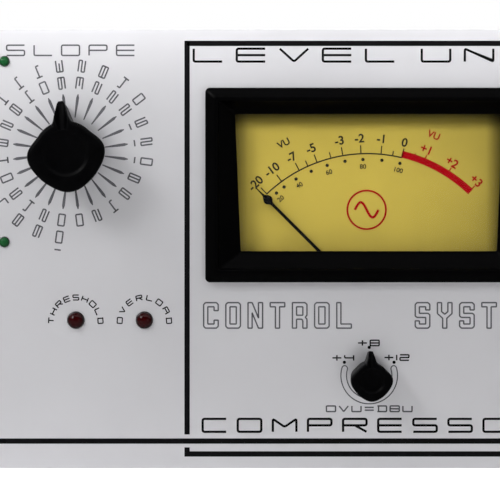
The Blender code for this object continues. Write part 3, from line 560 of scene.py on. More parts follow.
class Print:
    """Ink on a flat face: thin flat solids, gathered into one piece."""

    def __init__(self, y):
        self.bm = bmesh.new()
        self.y = y

    def solid(self, outline, hole=None):
        """A filled outline, or the ring between an outline and a hole with as many points."""
        made = []
        for y in (self.y - INK_LIFT, self.y - INK_GAP):
            loops = [loop for loop in (outline, hole) if loop]
            made.append([[self.bm.verts.new((p[0], y, p[1])) for p in loop] for loop in loops])
        front_loops, back_loops = made
        count = len(outline)
        for i in range(count):
            j = (i + 1) % count
            for a, b in zip(front_loops, back_loops):
                self.bm.faces.new((a[i], a[j], b[j], b[i]))
            if hole:
                for outer, inner in made:
                    self.bm.faces.new((outer[i], outer[j], inner[j], inner[i]))
        if not hole:
            for loops in made:
                self.bm.faces.new(loops[0])

    def line(self, points, width, closed=False, radius=0.0):
        if radius:
            points = round_corners(points, radius, closed)
        left, right = strip(points, width, closed)
        if closed:
            self.solid(left, right)
        else:
            self.solid(left + right[::-1])

    def arc(self, centre, radius, start, end, width, steps=48):
        """Part of a circle between two clockwise angles."""
        points = [polar(centre, radius, start + (end - start) * i / steps) for i in range(steps + 1)]
        full = abs(end - start) >= 360
        self.line(points[:-1] if full else points, width, closed=full)

    def dot(self, centre, radius):
        self.solid([(centre[0] + x, centre[1] + z) for x, z in circle(radius, 24)])

    def glyph(self, character, size, weight, corner, angle=0.0):
        """One character with its lower left corner at corner, turned by angle anticlockwise."""
        w, h = size
        if character in THIN:
            w = 0.0
        turned = Matrix.Rotation(math.radians(angle), 2)
        for stroke in strokes_of(character):
            points = [tuple(turned @ Vector((x * w, z * h)) + Vector(corner)) for x, z in stroke]
            closed = points[0] == points[-1] and len(points) > 2
            if closed:
                points = points[:-1]
            if w == 0.0:
                points = points[:2]
            self.line(points, weight, closed, 0.16 * h)

    def word(self, text, size, gap, weight, base, middle=None, left=None):
        """A line of characters, placed by its middle or its left end."""
        w = size[0]
        widths = [0.45 * w if c == " " else (0.0 if c in THIN else w) for c in text]
        spaces = [0.0 if c == " " else gap for c in text]
        if left is None:
            left = middle - (sum(widths) + sum(spaces[:-1])) / 2
        for character, width, space in zip(text, widths, spaces):
            if character != " ":
                self.glyph(character, size, weight, (left, base))
            left += width + space

    def finish(self, name, finish_name):
        bmesh.ops.recalc_face_normals(self.bm, faces=self.bm.faces)
        return piece(name, self.bm, finish_name)


BOX_X, BOX_TOP, BOX_FOOT = 55.0, 62.1, -61.9  # the box round the meter: half width, top and foot
RULE_Z, RULE_REACH = -58.0, 200.0
BREAK_TOP, BREAK_FOOT = 2.0, -1.9  # the box's sides stop short of the rule by these
LINE_W = 1.6


def frame_lines(ink):
    """The box round the meter and the rule that crosses it."""
    foot = panel_z(BOX_FOOT)
    for x in (-BOX_X, BOX_X):
        ink.line([(x, panel_z(BOX_TOP) + LINE_W / 2), (x, panel_z(RULE_Z + BREAK_TOP))], LINE_W)
        ink.line([(x, panel_z(RULE_Z + BREAK_FOOT)), (x, foot), (0, foot)], LINE_W)
    ink.line([(-BOX_X, panel_z(BOX_TOP)), (BOX_X, panel_z(BOX_TOP))], LINE_W)
    ink.line([(-RULE_REACH, panel_z(RULE_Z)), (RULE_REACH, panel_z(RULE_Z))], LINE_W)


MAIN = {"input": "input_turn", "slope": "slope_turn", "release": "release_turn", "output": "output_turn"}
POSITIONS = 24
FIRST_POSITION, STEP = 187.5, 15  # clockwise angles: just left of straight down, then round
DIGIT = (3.45, 1.9)  # how far a digit runs along the radius, and across it
DIGIT_GAP, DIGIT_FOOT, DIGIT_WEIGHT = 1.75, 19.1, 0.46
THIN_BEFORE, THIN_AFTER = 0.4, 1.9
NIB = ((10.4, 0.17), (14.8, 0.42), (16.4, 0.44), (17.5, 0.12))  # a tick: distance out and half width
ATTENUATION = [2 * i for i in range(POSITIONS)]
SLOPE_PERCENT = [
    100, 92, 84, 76, 70, 64, 58, 52, 48, 44, 40, 36, 32, 28, 24, 20, 16, 12, 10, 8, 6, 4, 2, 0,
]
VALUES = {
    "input": ATTENUATION,
    "slope": SLOPE_PERCENT,
    "release": range(1, POSITIONS + 1),
    "output": ATTENUATION,
}


def dial_scale(ink, centre, values):
    """Nib-shaped ticks with their values set along the radius."""
    for i, value in enumerate(values):
        clockwise = FIRST_POSITION + STEP * i
        outline = [(-half, along) for along, half in NIB] + [(half, along) for along, half in reversed(NIB)]
        turned = Matrix.Rotation(math.radians(-clockwise), 2)
        ink.solid([tuple(turned @ Vector(p) + Vector(centre)) for p in outline])
        inward = i < POSITIONS // 2  # reads towards the middle, so its last digit is the nearest
        ray = Vector(polar((0, 0), 1.0, clockwise))
        side = Vector((ray.y, -ray.x)) * (DIGIT[1] / 2)
        reach = DIGIT_FOOT
        for character in reversed(str(value)) if inward else str(value):
            thin = character in THIN
            if thin:
                reach += THIN_BEFORE
            length = 0.0 if thin else DIGIT[0]
            if inward:
                corner = Vector(centre) + ray * (reach + length) - side
                angle = 270 - clockwise
            else:
                corner = Vector(centre) + ray * reach + side
                angle = 90 - clockwise
            ink.glyph(character, DIGIT, DIGIT_WEIGHT, tuple(corner), angle)
            reach += length + (THIN_AFTER if thin else DIGIT_GAP)


ARCH_HALF_SPAN = 86.0


def arched_word(ink, text, centre, radius, size, weight):
    """Characters standing on the upper half of a circle."""
    step = 2 * ARCH_HALF_SPAN / (len(text) - 1)
    for i, character in enumerate(text):
        clockwise = step * i - ARCH_HALF_SPAN
        up = Vector(polar((0, 0), 1.0, clockwise))
        right = Vector((up.y, -up.x))
        width = 0.0 if character in THIN else size[0]
        corner = Vector(centre) + up * (radius - size[1] / 2) - right * (width / 2)
        ink.glyph(character, size, weight, tuple(corner), -clockwise)


LETTER_W, LETTER_H, LIMB = 4.4, 7.7, 1.25  # a tall letter's width and height, and its limbs' width
CHAMFER = 0.55  # how much of each outer corner is cut off
TALL_PITCH, TALL_WEIGHT = 6.7, 0.44


def tall_letters():
    """Outlines of the tall letters, which are drawn hollow. Most are a part and its mirror image."""
    w, h, s, c = LETTER_W, LETTER_H, LIMB, CHAMFER
    mid, stem = h / 2, (w - s) / 2

    def over_and_under(half):
        return half + [(x, h - z) for x, z in reversed(half)]

    def side_to_side(half):
        return half + [(w - x, z) for x, z in reversed(half)]

    def turned_round(half):
        return half + [(w - x, h - z) for x, z in half]

    wide = w + 0.9
    return {
        "C": [over_and_under([
            (0, c), (c, 0), (w - c, 0), (w, c), (w, 2.4), (w - s, 2.4), (w - s, s), (s, s),
        ])],
        "E": [over_and_under([(0, 0), (w, 0), (w, s), (s, s), (s, mid - s / 2), (w - 0.8, mid - s / 2)])],
        "L": [[(0, 0), (w, 0), (w, s), (s, s), (s, h), (0, h)]],
        "M": [[
            (0, 0), (s, 0), (s, 5.2), (wide / 2, 3.0), (wide - s, 5.2), (wide - s, 0), (wide, 0), (wide, h),
            (wide - s, h), (wide / 2, 5.2), (s, h), (0, h),
        ]],
        "N": [turned_round([(0, 0), (s, 0), (s, 4.6), (w - s, 0), (w, 0)])],
        "O": [over_and_under([(0, c), (c, 0), (w - c, 0), (w, c)]), over_and_under([(s, s), (w - s, s)])],
        "R": [
            [
                (0, 0), (s, 0), (s, 2.7), (w - s - 0.3, 2.7), (w - s, 2.2), (w - s, 0), (w, 0), (w, 2.7),
                (w - 0.5, 3.3), (w, 3.9), (w, h - c), (w - c, h), (0, h),
            ],
            [(s, 3.9), (w - s, 3.9), (w - s, h - s), (s, h - s)],
        ],
        "S": [turned_round([
            (w - c, 0), (w, c), (w, mid + 0.2), (w - c, mid + s / 2), (s, mid + s / 2), (s, h - s),
            (w - s, h - s), (w - s, h - 2.2), (w, h - 2.2), (w, h - c), (w - c, h),
        ])],
        "T": [side_to_side([(0, h), (0, h - s), (stem, h - s), (stem, 0)])],
        "Y": [side_to_side([(s, 5.0), (s, h), (0, h), (0, 4.4), (stem, 3.0), (stem, 0)]) + [(w / 2, 4.2)]],
    }


def outlined_word(ink, text, left, base):
    letters = tall_letters()
    for i, character in enumerate(text):
        for outline in letters[character]:
            points = [(left + TALL_PITCH * i + x, base + z) for x, z in outline]
            ink.line(points, TALL_WEIGHT, closed=True, radius=0.18)


BAND_OUTER, BAND_INNER = 8.55, 6.85
BAND_START, BAND_END = 74, 286  # clockwise angles


def range_band(ink, centre):
    """A thin outline of a round-ended band that runs under the small knob from side to side."""
    middle, half = (BAND_OUTER + BAND_INNER) / 2, (BAND_OUTER - BAND_INNER) / 2

    def side(radius, start, end, steps=60):
        return [polar(centre, radius, start + (end - start) * i / steps) for i in range(steps + 1)]

    def round_end(angle, way, steps=8):
        points = []
        for k in range(1, steps):
            turn = math.pi * k / steps
            bulge = math.degrees(half * math.sin(turn) / middle)
            points.append(polar(centre, middle + way * half * math.cos(turn), angle + way * bulge))
        return points

    points = side(BAND_OUTER, BAND_START, BAND_END) + round_end(BAND_END, 1)
    points += side(BAND_INNER, BAND_END, BAND_START) + round_end(BAND_START, -1)
    ink.line(points, 0.34, closed=True)


def range_printing(black, grey):
    """The three settings of the small knob, the band under it and the note below."""
    pivot = axis_mm("meter_range_turn")
    centre = (pivot.x, pivot.z)
    range_band(grey, centre)
    for angle in (-62, 0, 62):
        black.dot(polar(centre, 8.5, angle), 0.5)
    for x, z, text in ((-7.9, 4.5, "+4"), (-0.2, 9.0, "+8"), (8.3, 4.6, "+12")):
        black.word(text, (2.7, 1.65), 1.0, 0.42, centre[1] + z, middle=centre[0] + x)
    grey.word("0VU=DBU", (2.75, 1.7), 1.1, 0.42, panel_z(-49.1), middle=centre[0])


def front_printing():
    black, grey = Print(FACE), Print(FACE)
    frame_lines(black)
    black.word("LEVEL UNIT", (8.6, 3.9), 4.4, 0.7, panel_z(56.6), left=-53.0)
    black.word("COMPRESSOR", (7.1, 3.9), 3.5, 0.7, panel_z(-55.2), left=-50.3)
    for text, left in (("CONTROL", -50.0), ("SYSTEM", 13.9)):
        outlined_word(grey, text, left, panel_z(-23.9))
    for name, joint in MAIN.items():
        pivot = axis_mm(joint)
        dial_scale(grey, (pivot.x, pivot.z), VALUES[name])
        grey.word(name.upper(), (5.4, 3.1), 2.9, 0.46, panel_z(58.45), middle=pivot.x)
    for node, text in (("threshold_lamp", "THRESHOLD"), ("overload_lamp", "OVERLOAD")):
        middle = box_mm(node)[2]
        arched_word(black, text, (middle.x, middle.z - 0.6), 7.45, (1.75, 1.5), 0.36)
    for node, text in (("power_toggle_lever", "POWER"), ("bypass_toggle_lever", "BYPASS")):
        grey.word(text, (3.4, 2.2), 1.6, 0.32, panel_z(-9.5), middle=box_mm(node)[2].x)
    range_printing(black, grey)
    black.finish("panel_black_printing", "black_ink")
    grey.finish("panel_grey_printing", "grey_ink")


# ---------------------------------------------------------------- controls

# A knob's pointer from its tip to the body: share of the way, and half width in tip half widths.
FLARE = (
    (0.0, 0.7), (0.03, 1.05), (0.15, 1.35), (0.34, 1.75), (0.6, 2.35), (0.75, 2.9), (0.88, 4.0), (1.0, 5.8),
)
KNOB_STEPS = 240
KNOB_REST = {  # how far each knob is turned from its pointer upright
    "input_turn": -22.5, "slope_turn": -7.5, "release_turn": 22.5, "output_turn": -37.5,
    "meter_range_turn": 0.0,
}


def flare_at(share):
    for (s0, w0), (s1, w1) in zip(FLARE, FLARE[1:]):
        if share <= s1:
            return w0 + (w1 - w0) * (share - s0) / (s1 - s0)
    return FLARE[-1][1]


def knob_reach(angle, lobe, tip, tip_half_width):
    """The outline's radius at an angle from the pointer, and how far along the pointer it is, 0 to 1."""
    off = min(angle, 360 - angle)
    lobed = 0.0 if off < 45 else ((1 + math.cos(math.radians(4 * off))) / 2) ** 1.4
    valley = 0.83 if off < 90 else 0.93
    radius = body = lobe * (valley + (1 - valley) * lobed)
    if off > 50:
        return body, 0.0
    turned = math.radians(off)
    low = body * 0.75
    tries = 160
    for k in range(tries):
        along = tip - (tip - low) * k / tries
        half_width = flare_at((tip - along) / (tip - low)) * tip_half_width
        if along * math.tan(turned) <= half_width:
            radius = max(body, along / math.cos(turned))
            break
    return radius, max(0.0, (radius - lobe) / (tip - lobe))


def knob(name, joint, lobe, tip, tip_half_width):
    """A moulded knob with three soft lobes, a pointer that flares into the body, and a dish in its top.

    The two hollows beside the pointer are deeper than the two opposite it, and the sides draw in
    towards the panel.
    """
    place = axis_mm(joint)
    top = box_mm(name)[0].y - place.y
    back, fall = -0.3, -0.3 * top
    outline = [knob_reach(360 * i / KNOB_STEPS, lobe, tip, tip_half_width) for i in range(KNOB_STEPS)]

    def ring(scale, depth, drop=0.0, inset=0.0):
        """The outline at a depth, drawn in, and moved towards the panel by drop at the pointer's tip."""
        points = []
        for i, (radius, along) in enumerate(outline):
            turned = TAU * i / KNOB_STEPS
            r = radius * scale - inset
            points.append((r * math.sin(turned), depth + drop * along, r * math.cos(turned)))
        return points

    def flat(share, depth):
        return at_y(circle(lobe * share, KNOB_STEPS), depth)

    hub = [[(0.0, back - 3.2, 0.0)], flat(0.50, back - 3.2), flat(0.65, back - 3.0), flat(0.66, back)]
    side = [ring(0.87, back, inset=0.2), ring(0.875, back - 0.3), ring(0.99, top + 1.5, fall)]
    edge_steps = ((0.98, 0.9), (0.955, 0.4), (0.92, 0.12), (0.87, 0.0))
    edge = [ring(scale, top + depth, fall) for scale, depth in edge_steps]
    edge.append(ring(0.78, top, 0.92 * fall))
    dish_steps = ((0.60, 0.0), (0.57, 0.12), (0.53, 0.4), (0.48, 0.52), (0.3, 0.6))
    dish = [flat(share, top + depth) for share, depth in dish_steps]
    dish.append([(0.0, top + 0.62, 0.0)])
    body = name.replace("_knob", "_control")
    shape = loft(hub + side + edge + dish)
    piece(f"{name}_moulding", shape, "knob_plastic", body, place, (0, KNOB_REST[joint], 0), name)


def arc_profile(radius, y, start, stop, step):
    """Lathe points on a circle centred on the axis at y. Angles are from +Y."""
    angles = [math.radians(a) for a in range(start, stop, step)]
    return [(radius * math.sin(a), y + radius * math.cos(a)) for a in angles]


LEVER_TILT = -11.0
THREAD_PITCH, THREAD_TURNS = 0.4, 6
THREAD_INNER, THREAD_ROOT, THREAD_CREST = 2.35, 2.78, 2.98


def toggle(side):
    """A plated bat lever, a hexagon nut and the threaded end of the bushing."""
    pivot = axis_mm(f"{side}_lever_rock")
    bat = [(0, 3.0), (0.7, 2.9), (0.8, 2.2)] + arc_profile(2.1, 0.0, 25, 156, 10)
    bat += [(0.88, -3.0), (0.88, -6.0), (1.15, -9.0), (1.5, -12.5), (1.8, -15.5)]
    bat += arc_profile(1.85, -16.1, 100, 180, 16) + [(0, -17.9)]
    piece(
        f"{side}_bat_lever", lathe(bat, 32), "toggle_lever_chrome", f"{side}_lever", pivot,
        (LEVER_TILT, 0, 0), f"{side}_toggle_lever",
    )
    place = (pivot.x, 0, pivot.z)
    nut_back = FACE - 0.35
    nut_front = nut_back - 1.9
    faces = ((4.5, nut_back), (4.5, nut_front), (3.05, nut_front), (3.05, nut_back))
    nut = loft([at_y(circle(radius, 6), y) for radius, y in faces], closed=True)
    piece(f"{side}_toggle_nut", nut, "shaft_steel", at=place, bevel=0.25)
    tip = FACE - 4.5
    thread = [(THREAD_INNER, tip)]
    for k in range(THREAD_TURNS):
        y = tip + THREAD_PITCH * k
        thread += [(THREAD_ROOT, y), (THREAD_CREST, y + 0.15)]
        thread += [(THREAD_CREST, y + 0.2), (THREAD_ROOT, y + 0.35)]
    thread.append((THREAD_INNER, tip + 2.2))
    piece(f"{side}_toggle_thread", lathe(thread, 40, closed=True), "shaft_steel", at=place)


def controls():
    for name, joint in MAIN.items():
        knob(f"{name}_knob", joint, 11.6, 15.6, 1.0)
    knob("meter_range_knob", "meter_range_turn", 6.4, 8.3, 0.6)
    for side in ("power", "bypass"):
        toggle(side)


LAMPS = (  # node, radius and finish
    ("threshold_lamp", 2.5, "red_lens"),
    ("overload_lamp", 2.5, "red_lens"),
    ("power_lamp", 2.5, "red_lens"),
    ("upper_green_lamp", 1.5, "green_lens"),
    ("lower_green_lamp", 1.5, "green_lens"),
)


def lamps():
    """Domed lenses with a flange at the back."""
    for node, radius, finish_name in LAMPS:
        low, high, _ = box_mm(node)
        tip, back = low.y, high.y
        rim = FACE - 0.4
        turns = [math.radians(a) for a in range(6, 91, 6)]
        dome = [(radius * math.sin(a), rim + (tip - rim) * math.cos(a)) for a in turns]
        flange = 1.16 * radius
        profile = [(0, tip)] + dome
        profile += [(radius, back - 1.2), (flange, back - 1.15), (flange, back), (0, back)]
        piece(f"{node}_lens", lathe(profile), finish_name, at=level_with(node), replaces=node)


def cross(reach, width, y0, y1):
    """The two arms of a cross recess."""
    half = width / 2
    return [block((-reach, y0, -half), (reach, y1, half)), block((-half, y0, -reach), (half, y1, reach))]


def panel_screws():
    """Countersunk heads with a cross recess."""
    for level in ("lower", "upper"):
        for side in ("left", "right"):
            node = f"panel_screw_{level}_{side}"
            low, high, _ = box_mm(node)
            front, end = low.y, high.y
            head = [(0, front), (3.75, front), (3.95, front + 0.25)]
            shank = [(2.0, front + 2.1), (2.0, end), (0, end)]
            shape, place = lathe(head + shank, 40), level_with(node)
            made = piece(f"{node}_head", shape, "fastener_steel", at=place, replaces=node)
            carve(made, cross(2.3, 0.75, front - 1, front + 1.4))


# ---------------------------------------------------------------- meter

WINDOW_TOP = (40.5, 21.4)  # half width and height of the opening's upper corners
WINDOW_FOOT = (38.8, -20.2)
WELL = (44.3, 24.3, 0.5)  # half width, half height and corner of the hollow behind the opening
SHELL = (46.2, 26.0, 0.5)  # the outside of the walls round it


def window_ring(y, corner, wider=0.0, taller=0.0):
    """The opening's outline, which narrows a little towards its foot."""
    x1, z1 = WINDOW_TOP[0] + wider, WINDOW_TOP[1] + taller
    x2, z2 = WINDOW_FOOT[0] + wider, WINDOW_FOOT[1] - taller
    return at_y(rounded_corners([(x1, z1), (-x1, z1), (-x2, z2), (x2, z2)], corner), y)


def meter_bezel():
    """The moulded frame: a proud rim with a sloping shoulder, then walls that fall back to the dial."""
    low, high, _ = box_mm("meter_bezel")
    half_w, half_h = (high.x - low.x) / 2, (high.z - low.z) / 2
    front, back = low.y, high.y
    seat, lip = FACE - 0.3, FACE + 2.1

    def rim(inset, y, corner):
        return at_y(rounded_rectangle(half_w - inset, half_h - inset, corner), y)

    outside = [rim(0.15, seat, 1.3), rim(0.0, seat - 0.15, 1.4), rim(0.0, front + 1.7, 1.4)]
    shoulder = [rim(0.12, front + 1.35, 1.35), rim(0.45, front + 1.0, 1.2), rim(2.5, front + 0.12, 0.9)]
    crest = [rim(2.85, front, 0.8), rim(3.5, front, 0.7), rim(3.8, front + 0.12, 0.7)]
    inside = [
        rim(4.0, front + 0.4, 0.7), rim(4.25, front + 1.2, 0.6), window_ring(FACE + 0.2, 0.5, 0.8, 1.0),
        window_ring(FACE + 1.2, 0.4), window_ring(lip, 0.4),
    ]
    walls = [(WELL, lip), (WELL, back), (SHELL, back), (SHELL, seat)]
    behind = [at_y(rounded_rectangle(*size), y) for size, y in walls]
    shape = loft(outside + shoulder + crest + inside + behind, closed=True)
    place = level_with("meter_bezel")
    piece("meter_bezel_moulding", shape, "bezel_plastic", at=place, replaces="meter_bezel")


VU_MARKS = (  # angle clockwise from upright, tick length, label
    (-43.7, 2.6, "-20"), (-36.1, 2.6, "-10"), (-27.9, 2.6, "-7"), (-24.1, 1.9, None), (-20.2, 2.6, "-5"),
    (-14.5, 1.9, None), (-9.7, 2.6, "-3"), (-2.5, 2.6, "-2"), (5.4, 2.6, "-1"), (10.0, 1.5, None),
    (13.7, 2.9, "0"), (18.3, 1.9, None), (22.4, 2.6, "+1"), (32.6, 2.6, "+2"), (43.5, 2.6, "+3"),
)
PERCENT_DOTS = (-40.6, -36.6, -30.7, -23.7, -16.7, -9.2, -1.8, 6.0, 13.5)
PERCENT_LABELS = ((-40.5, "20"), (-30.5, "40"), (-16.5, "60"), (-1.6, "80"), (13.7, "100"))
ZERO_VU, SCALE_END = 13.7, 43.9
ARC_R, DOTS_R, PERCENT_R, FIGURES_R, VU_R = 44.5, 42.7, 40.5, 49.1, 54.0
TYPE_THICKNESS = 0.03


def lettering(texts, name, finish_name, y):
    """Words in the plain built-in face, each centred at a point and turned, joined into one thin piece."""
    whole = bmesh.new()
    for text, height, point, clockwise in texts:
        curve = bpy.data.curves.new("lettering", "FONT")
        curve.body = text
        curve.size = height * 1.38 * MM
        curve.align_x = "CENTER"
        curve.align_y = "CENTER"
        curve.extrude = TYPE_THICKNESS / 2 * MM
        curve.offset = 0.03 * height * MM
        holder = bpy.data.objects.new("lettering", curve)
        bpy.context.scene.collection.objects.link(holder)
        bpy.context.view_layer.update()
        mesh = bpy.data.meshes.new_from_object(holder)
        mesh.transform(Matrix.Scale(1 / MM, 4))
        mesh.transform(Matrix.Rotation(math.radians(90), 4, "X"))
        mesh.transform(Matrix.Rotation(math.radians(clockwise), 4, "Y"))
        mesh.transform(Matrix.Translation((point[0], y - TYPE_THICKNESS / 2 - INK_GAP, point[1])))
        whole.from_mesh(mesh)
        bpy.data.objects.remove(holder)
        bpy.data.meshes.remove(mesh)
    bmesh.ops.remove_doubles(whole, verts=whole.verts, dist=1e-4)
    return piece(name, whole, finish_name)


def emblem(ink, middle):
    """A sine wave in a ring."""
    radius, half_width, swing, steps = 5.9, 3.6, 2.3, 40
    ink.arc(middle, radius, 0, 360, 0.56)
    wave = []
    for i in range(steps + 1):
        across = 2 * half_width * i / steps - half_width
        wave.append((middle[0] + across, middle[1] + swing * math.sin(TAU * i / steps)))
    ink.line(wave, 0.75)


def meter_printing():
    """The VU scale, black below 0 and red above it, with a percentage scale of dots under it."""
    pivot = axis_mm("pointer_swing")
    centre = (pivot.x, pivot.z)
    dial_y = box_mm("meter_dial")[0].y
    black, red = Print(dial_y), Print(dial_y)
    black_words, red_words = [], []
    black.arc(centre, ARC_R, -SCALE_END, ZERO_VU, 0.42)
    red.arc(centre, ARC_R + 1.05, ZERO_VU - 0.3, SCALE_END, 2.1)
    for angle, length, label in VU_MARKS:
        over = angle > ZERO_VU
        foot, head = (2.05, length + 0.6) if over else (0.1, length)
        ink, words, lean = (red, red_words, -0.8) if over else (black, black_words, -0.3)
        ink.line([polar(centre, ARC_R + foot, angle), polar(centre, ARC_R + head, angle)], 0.34)
        if label:
            words.append((label, 2.65, polar(centre, FIGURES_R, angle + lean), angle))
    black_words.append(("VU", 2.15, polar(centre, VU_R, -28.2), -27.9))
    red_words.append(("VU", 2.15, polar(centre, VU_R, 22.1), 22.4))
    for angle in PERCENT_DOTS:
        black.dot(polar(centre, DOTS_R, angle), 0.52)
    for angle, text in PERCENT_LABELS:
        black_words.append((text, 1.45, polar(centre, PERCENT_R, angle - 0.3), angle))
    emblem(red, (centre[0] - 0.2, centre[1] + 27.3))
    black.finish("dial_black_printing", "dial_black_ink")
    red.finish("dial_red_printing", "red_ink")
    lettering(black_words, "dial_black_figures", "dial_black_ink", dial_y)
    lettering(red_words, "dial_red_figures", "red_ink", dial_y)


LANCE = (  # half width and distance from the pivot: the tip and spade, the stem, the hub and the tail
    (0.16, 48.2), (0.22, 46.0), (0.38, 44.9), (0.95, 44.2), (1.38, 43.4), (1.42, 42.8), (1.15, 42.2),
    (0.6, 41.7), (0.46, 41.0), (0.48, 22.0), (0.5, 4.0), (0.9, 2.4), (2.0, 1.5), (2.2, 0.0), (2.0, -1.3),
    (0.9, -2.4), (0.8, -5.8), (1.7, -6.4), (1.8, -8.2), (1.4, -8.4),
)


def meter_pointer():
    """A pointer with a spade near its tip and a counterweight behind the pivot, and its hairspring."""
    pivot = axis_mm("pointer_swing")
    place, rest = (pivot.x, 0, pivot.z), (0, -45.0, 0)
    y = box_mm("meter_pointer")[2].y
    lance = prism(list(LANCE) + [(-x, z) for x, z in reversed(LANCE)], y - 0.2, y + 0.2)
    piece("pointer_lance", lance, "pointer_paint", "pointer", place, rest, "meter_pointer", bevel=0.04)
    turns, steps = 4.5, 119
    points = []
    for i in range(steps + 1):
        share = i / steps
        points.append(polar((0, 0), 0.9 + 3.6 * share, 360 * turns * share))
    left, right = strip(points, 0.12)
    y = box_mm("meter_bridge")[0].y + 1.25
    spring = prism(left + right[::-1], y - 0.2, y + 0.2)
    piece("meter_hairspring", spring, "movement_brass", at=place)


# ---------------------------------------------------------------- rear and inside

def screws(name, places, radius, height, turn=0.0):
    """Pan heads that stand out along +Y, or along +Z with a turn of 90, and near-black blocks set in them
    that paint the shadow of their cross recesses.
    """
    heads, recess_shadow_blocks = [], []
    profile = [
        (0, -0.6), (radius * 0.6, -0.6), (radius, 0.0), (radius, 0.35 * height),
        (radius * 0.86, 0.8 * height), (radius * 0.62, height), (0, height),
    ]
    for where in places:
        heads.append(moved(lathe(profile, 24), where, turn))
        arms = cross(radius * 0.55, 0.6, 0.55 * height, height + 0.02)
        recess_shadow_blocks += [moved(arm, where, turn) for arm in arms]
    piece(name, together(heads), "fastener_steel")
    # painted shadow: the recesses are solid blocks in a near-black finish, not hollows
    piece(f"{name}_recesses", together(recess_shadow_blocks), "recess_shadow")


CONNECTORS = ("input_xlr_socket", "output_xlr_plug")


def fasteners():
    low, high, _ = box_mm("top_cover")
    places = [(x, y, high.z) for x in (low.x + 8, high.x - 8) for y in (low.y + 16, 0, high.y - 16)]
    screws("cover_screws", places, 2.8, 1.3, 90)
    low, high, _ = box_mm("rear_panel")
    places = [(x, high.y, z) for x in (low.x + 9, high.x - 9) for z in (low.z + 12, high.z - 12)]
    screws("rear_panel_screws", places, 2.8, 1.3)
    places = []
    for node in CONNECTORS:
        _, high, middle = box_mm(node)
        places += [(middle.x + side * 9.8, high.y, middle.z - side * 12.0) for side in (-1, 1)]
    screws("connector_screws", places, 1.8, 0.9)


def wire(name, points, radius, finish_name):
    """An insulated wire through points, with eased bends."""
    curve = bpy.data.curves.new(name, "CURVE")
    curve.dimensions = "3D"
    curve.resolution_u = 8
    curve.bevel_depth = radius * MM
    curve.bevel_resolution = 3
    curve.use_fill_caps = True
    spline = curve.splines.new("BEZIER")
    spline.bezier_points.add(len(points) - 1)
    for bezier, point in zip(spline.bezier_points, points):
        bezier.co = Vector(point) * MM
        bezier.handle_left_type = bezier.handle_right_type = "AUTO"
    curve.materials.append(F[finish_name])
    made = bpy.data.objects.new(name, curve)
    bpy.context.scene.collection.objects.link(made)
    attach(made, "chassis")


def leads(prefix, colours, radius, points, steps):
    """Wires side by side: the first one's points, and how far along X each point is from wire to wire."""
    for k, colour in enumerate(colours):
        path = [(x + step * k, y, z) for (x, y, z), step in zip(points, steps)]
        wire(f"{prefix}_lead_{k + 1}", path, radius, f"wire_{colour}")


def wiring():
    """Leads from each control to the main board, and from the inlet by way of the toroid to its board."""
    low, high, _ = box_mm("main_board")
    top = high.z
    plugs = {"input": low.x + 12, "slope": low.x + 22}  # the others plug in nearly under their controls
    for name in MAIN:
        _, back, switch = box_mm(f"{name}_switch")
        plug_x = plugs.get(name, switch.x * 0.8)
        x, y, z = switch.x - 3, back.y + 0.4, switch.z
        leads(name, ("grey", "red", "black"), 0.8, [
            (x, y, z - 6), (x, y + 7, z - 14), (x * 0.9 + plug_x * 0.1, y + 8, top + 34),
            (plug_x, low.y + 12, top + 14), (plug_x, low.y + 10, top + 4.5),
        ], (3.0, 3.0, 2.7, 2.2, 2.2))
    inlet_low, _, inlet = box_mm("power_inlet")
    coil_low, coil_high, coil = box_mm("toroid_winding")
    x, z = inlet.x - 3, coil_high.z
    leads("mains", ("black", "red"), 1.1, [
        (x, inlet_low.y - 0.2, inlet.z + 12), (x, inlet_low.y - 8, inlet.z + 20),
        (x + 8, coil.y + 26, z + 8), (coil.x + 22, coil.y + 6, z + 6), (coil.x + 30, coil.y, z - 0.5),
    ], (6, 6, 6, 5, 4))
    _, board, _ = box_mm("power_board")
    x = coil.x + 12
    leads("secondary", ("red", "grey", "red"), 0.9, [
        (x, coil_low.y + 4, z - 4), (x, coil_low.y - 6, z - 8), (x - 2, board.y - 10, board.z + 16),
        (x - 4, board.y - 14, board.z + 4),
    ], (5, 5, 5, 5))
    for node in CONNECTORS:
        end, _, connector = box_mm(node)
        x = connector.x - 2
        leads(node, ("grey", "black"), 0.8, [
            (x, end.y - 0.1, connector.z + 2), (x, end.y - 5, connector.z + 1), (x, high.y - 8, top + 14),
            (x, high.y - 10, top + 4),
        ], (4, 4, 4, 4))


CHIP_PINS, PIN_PITCH = 8, 2.54
RESISTOR = (
    (0, -3.2), (1.05, -3.1), (1.25, -2.6), (1.05, -2.0), (1.05, 2.0), (1.25, 2.6), (1.05, 3.1), (0, 3.2),
)
RESISTOR_LEAD = ((0, -5.0), (0.3, -5.0), (0.3, 5.0), (0, 5.0))
CAN = ((0, 0.2), (2.5, 0.2), (2.5, 8.5), (2.2, 9.0), (2.4, 9.4), (2.5, 10.6), (2.2, 11.0), (0, 11.0))


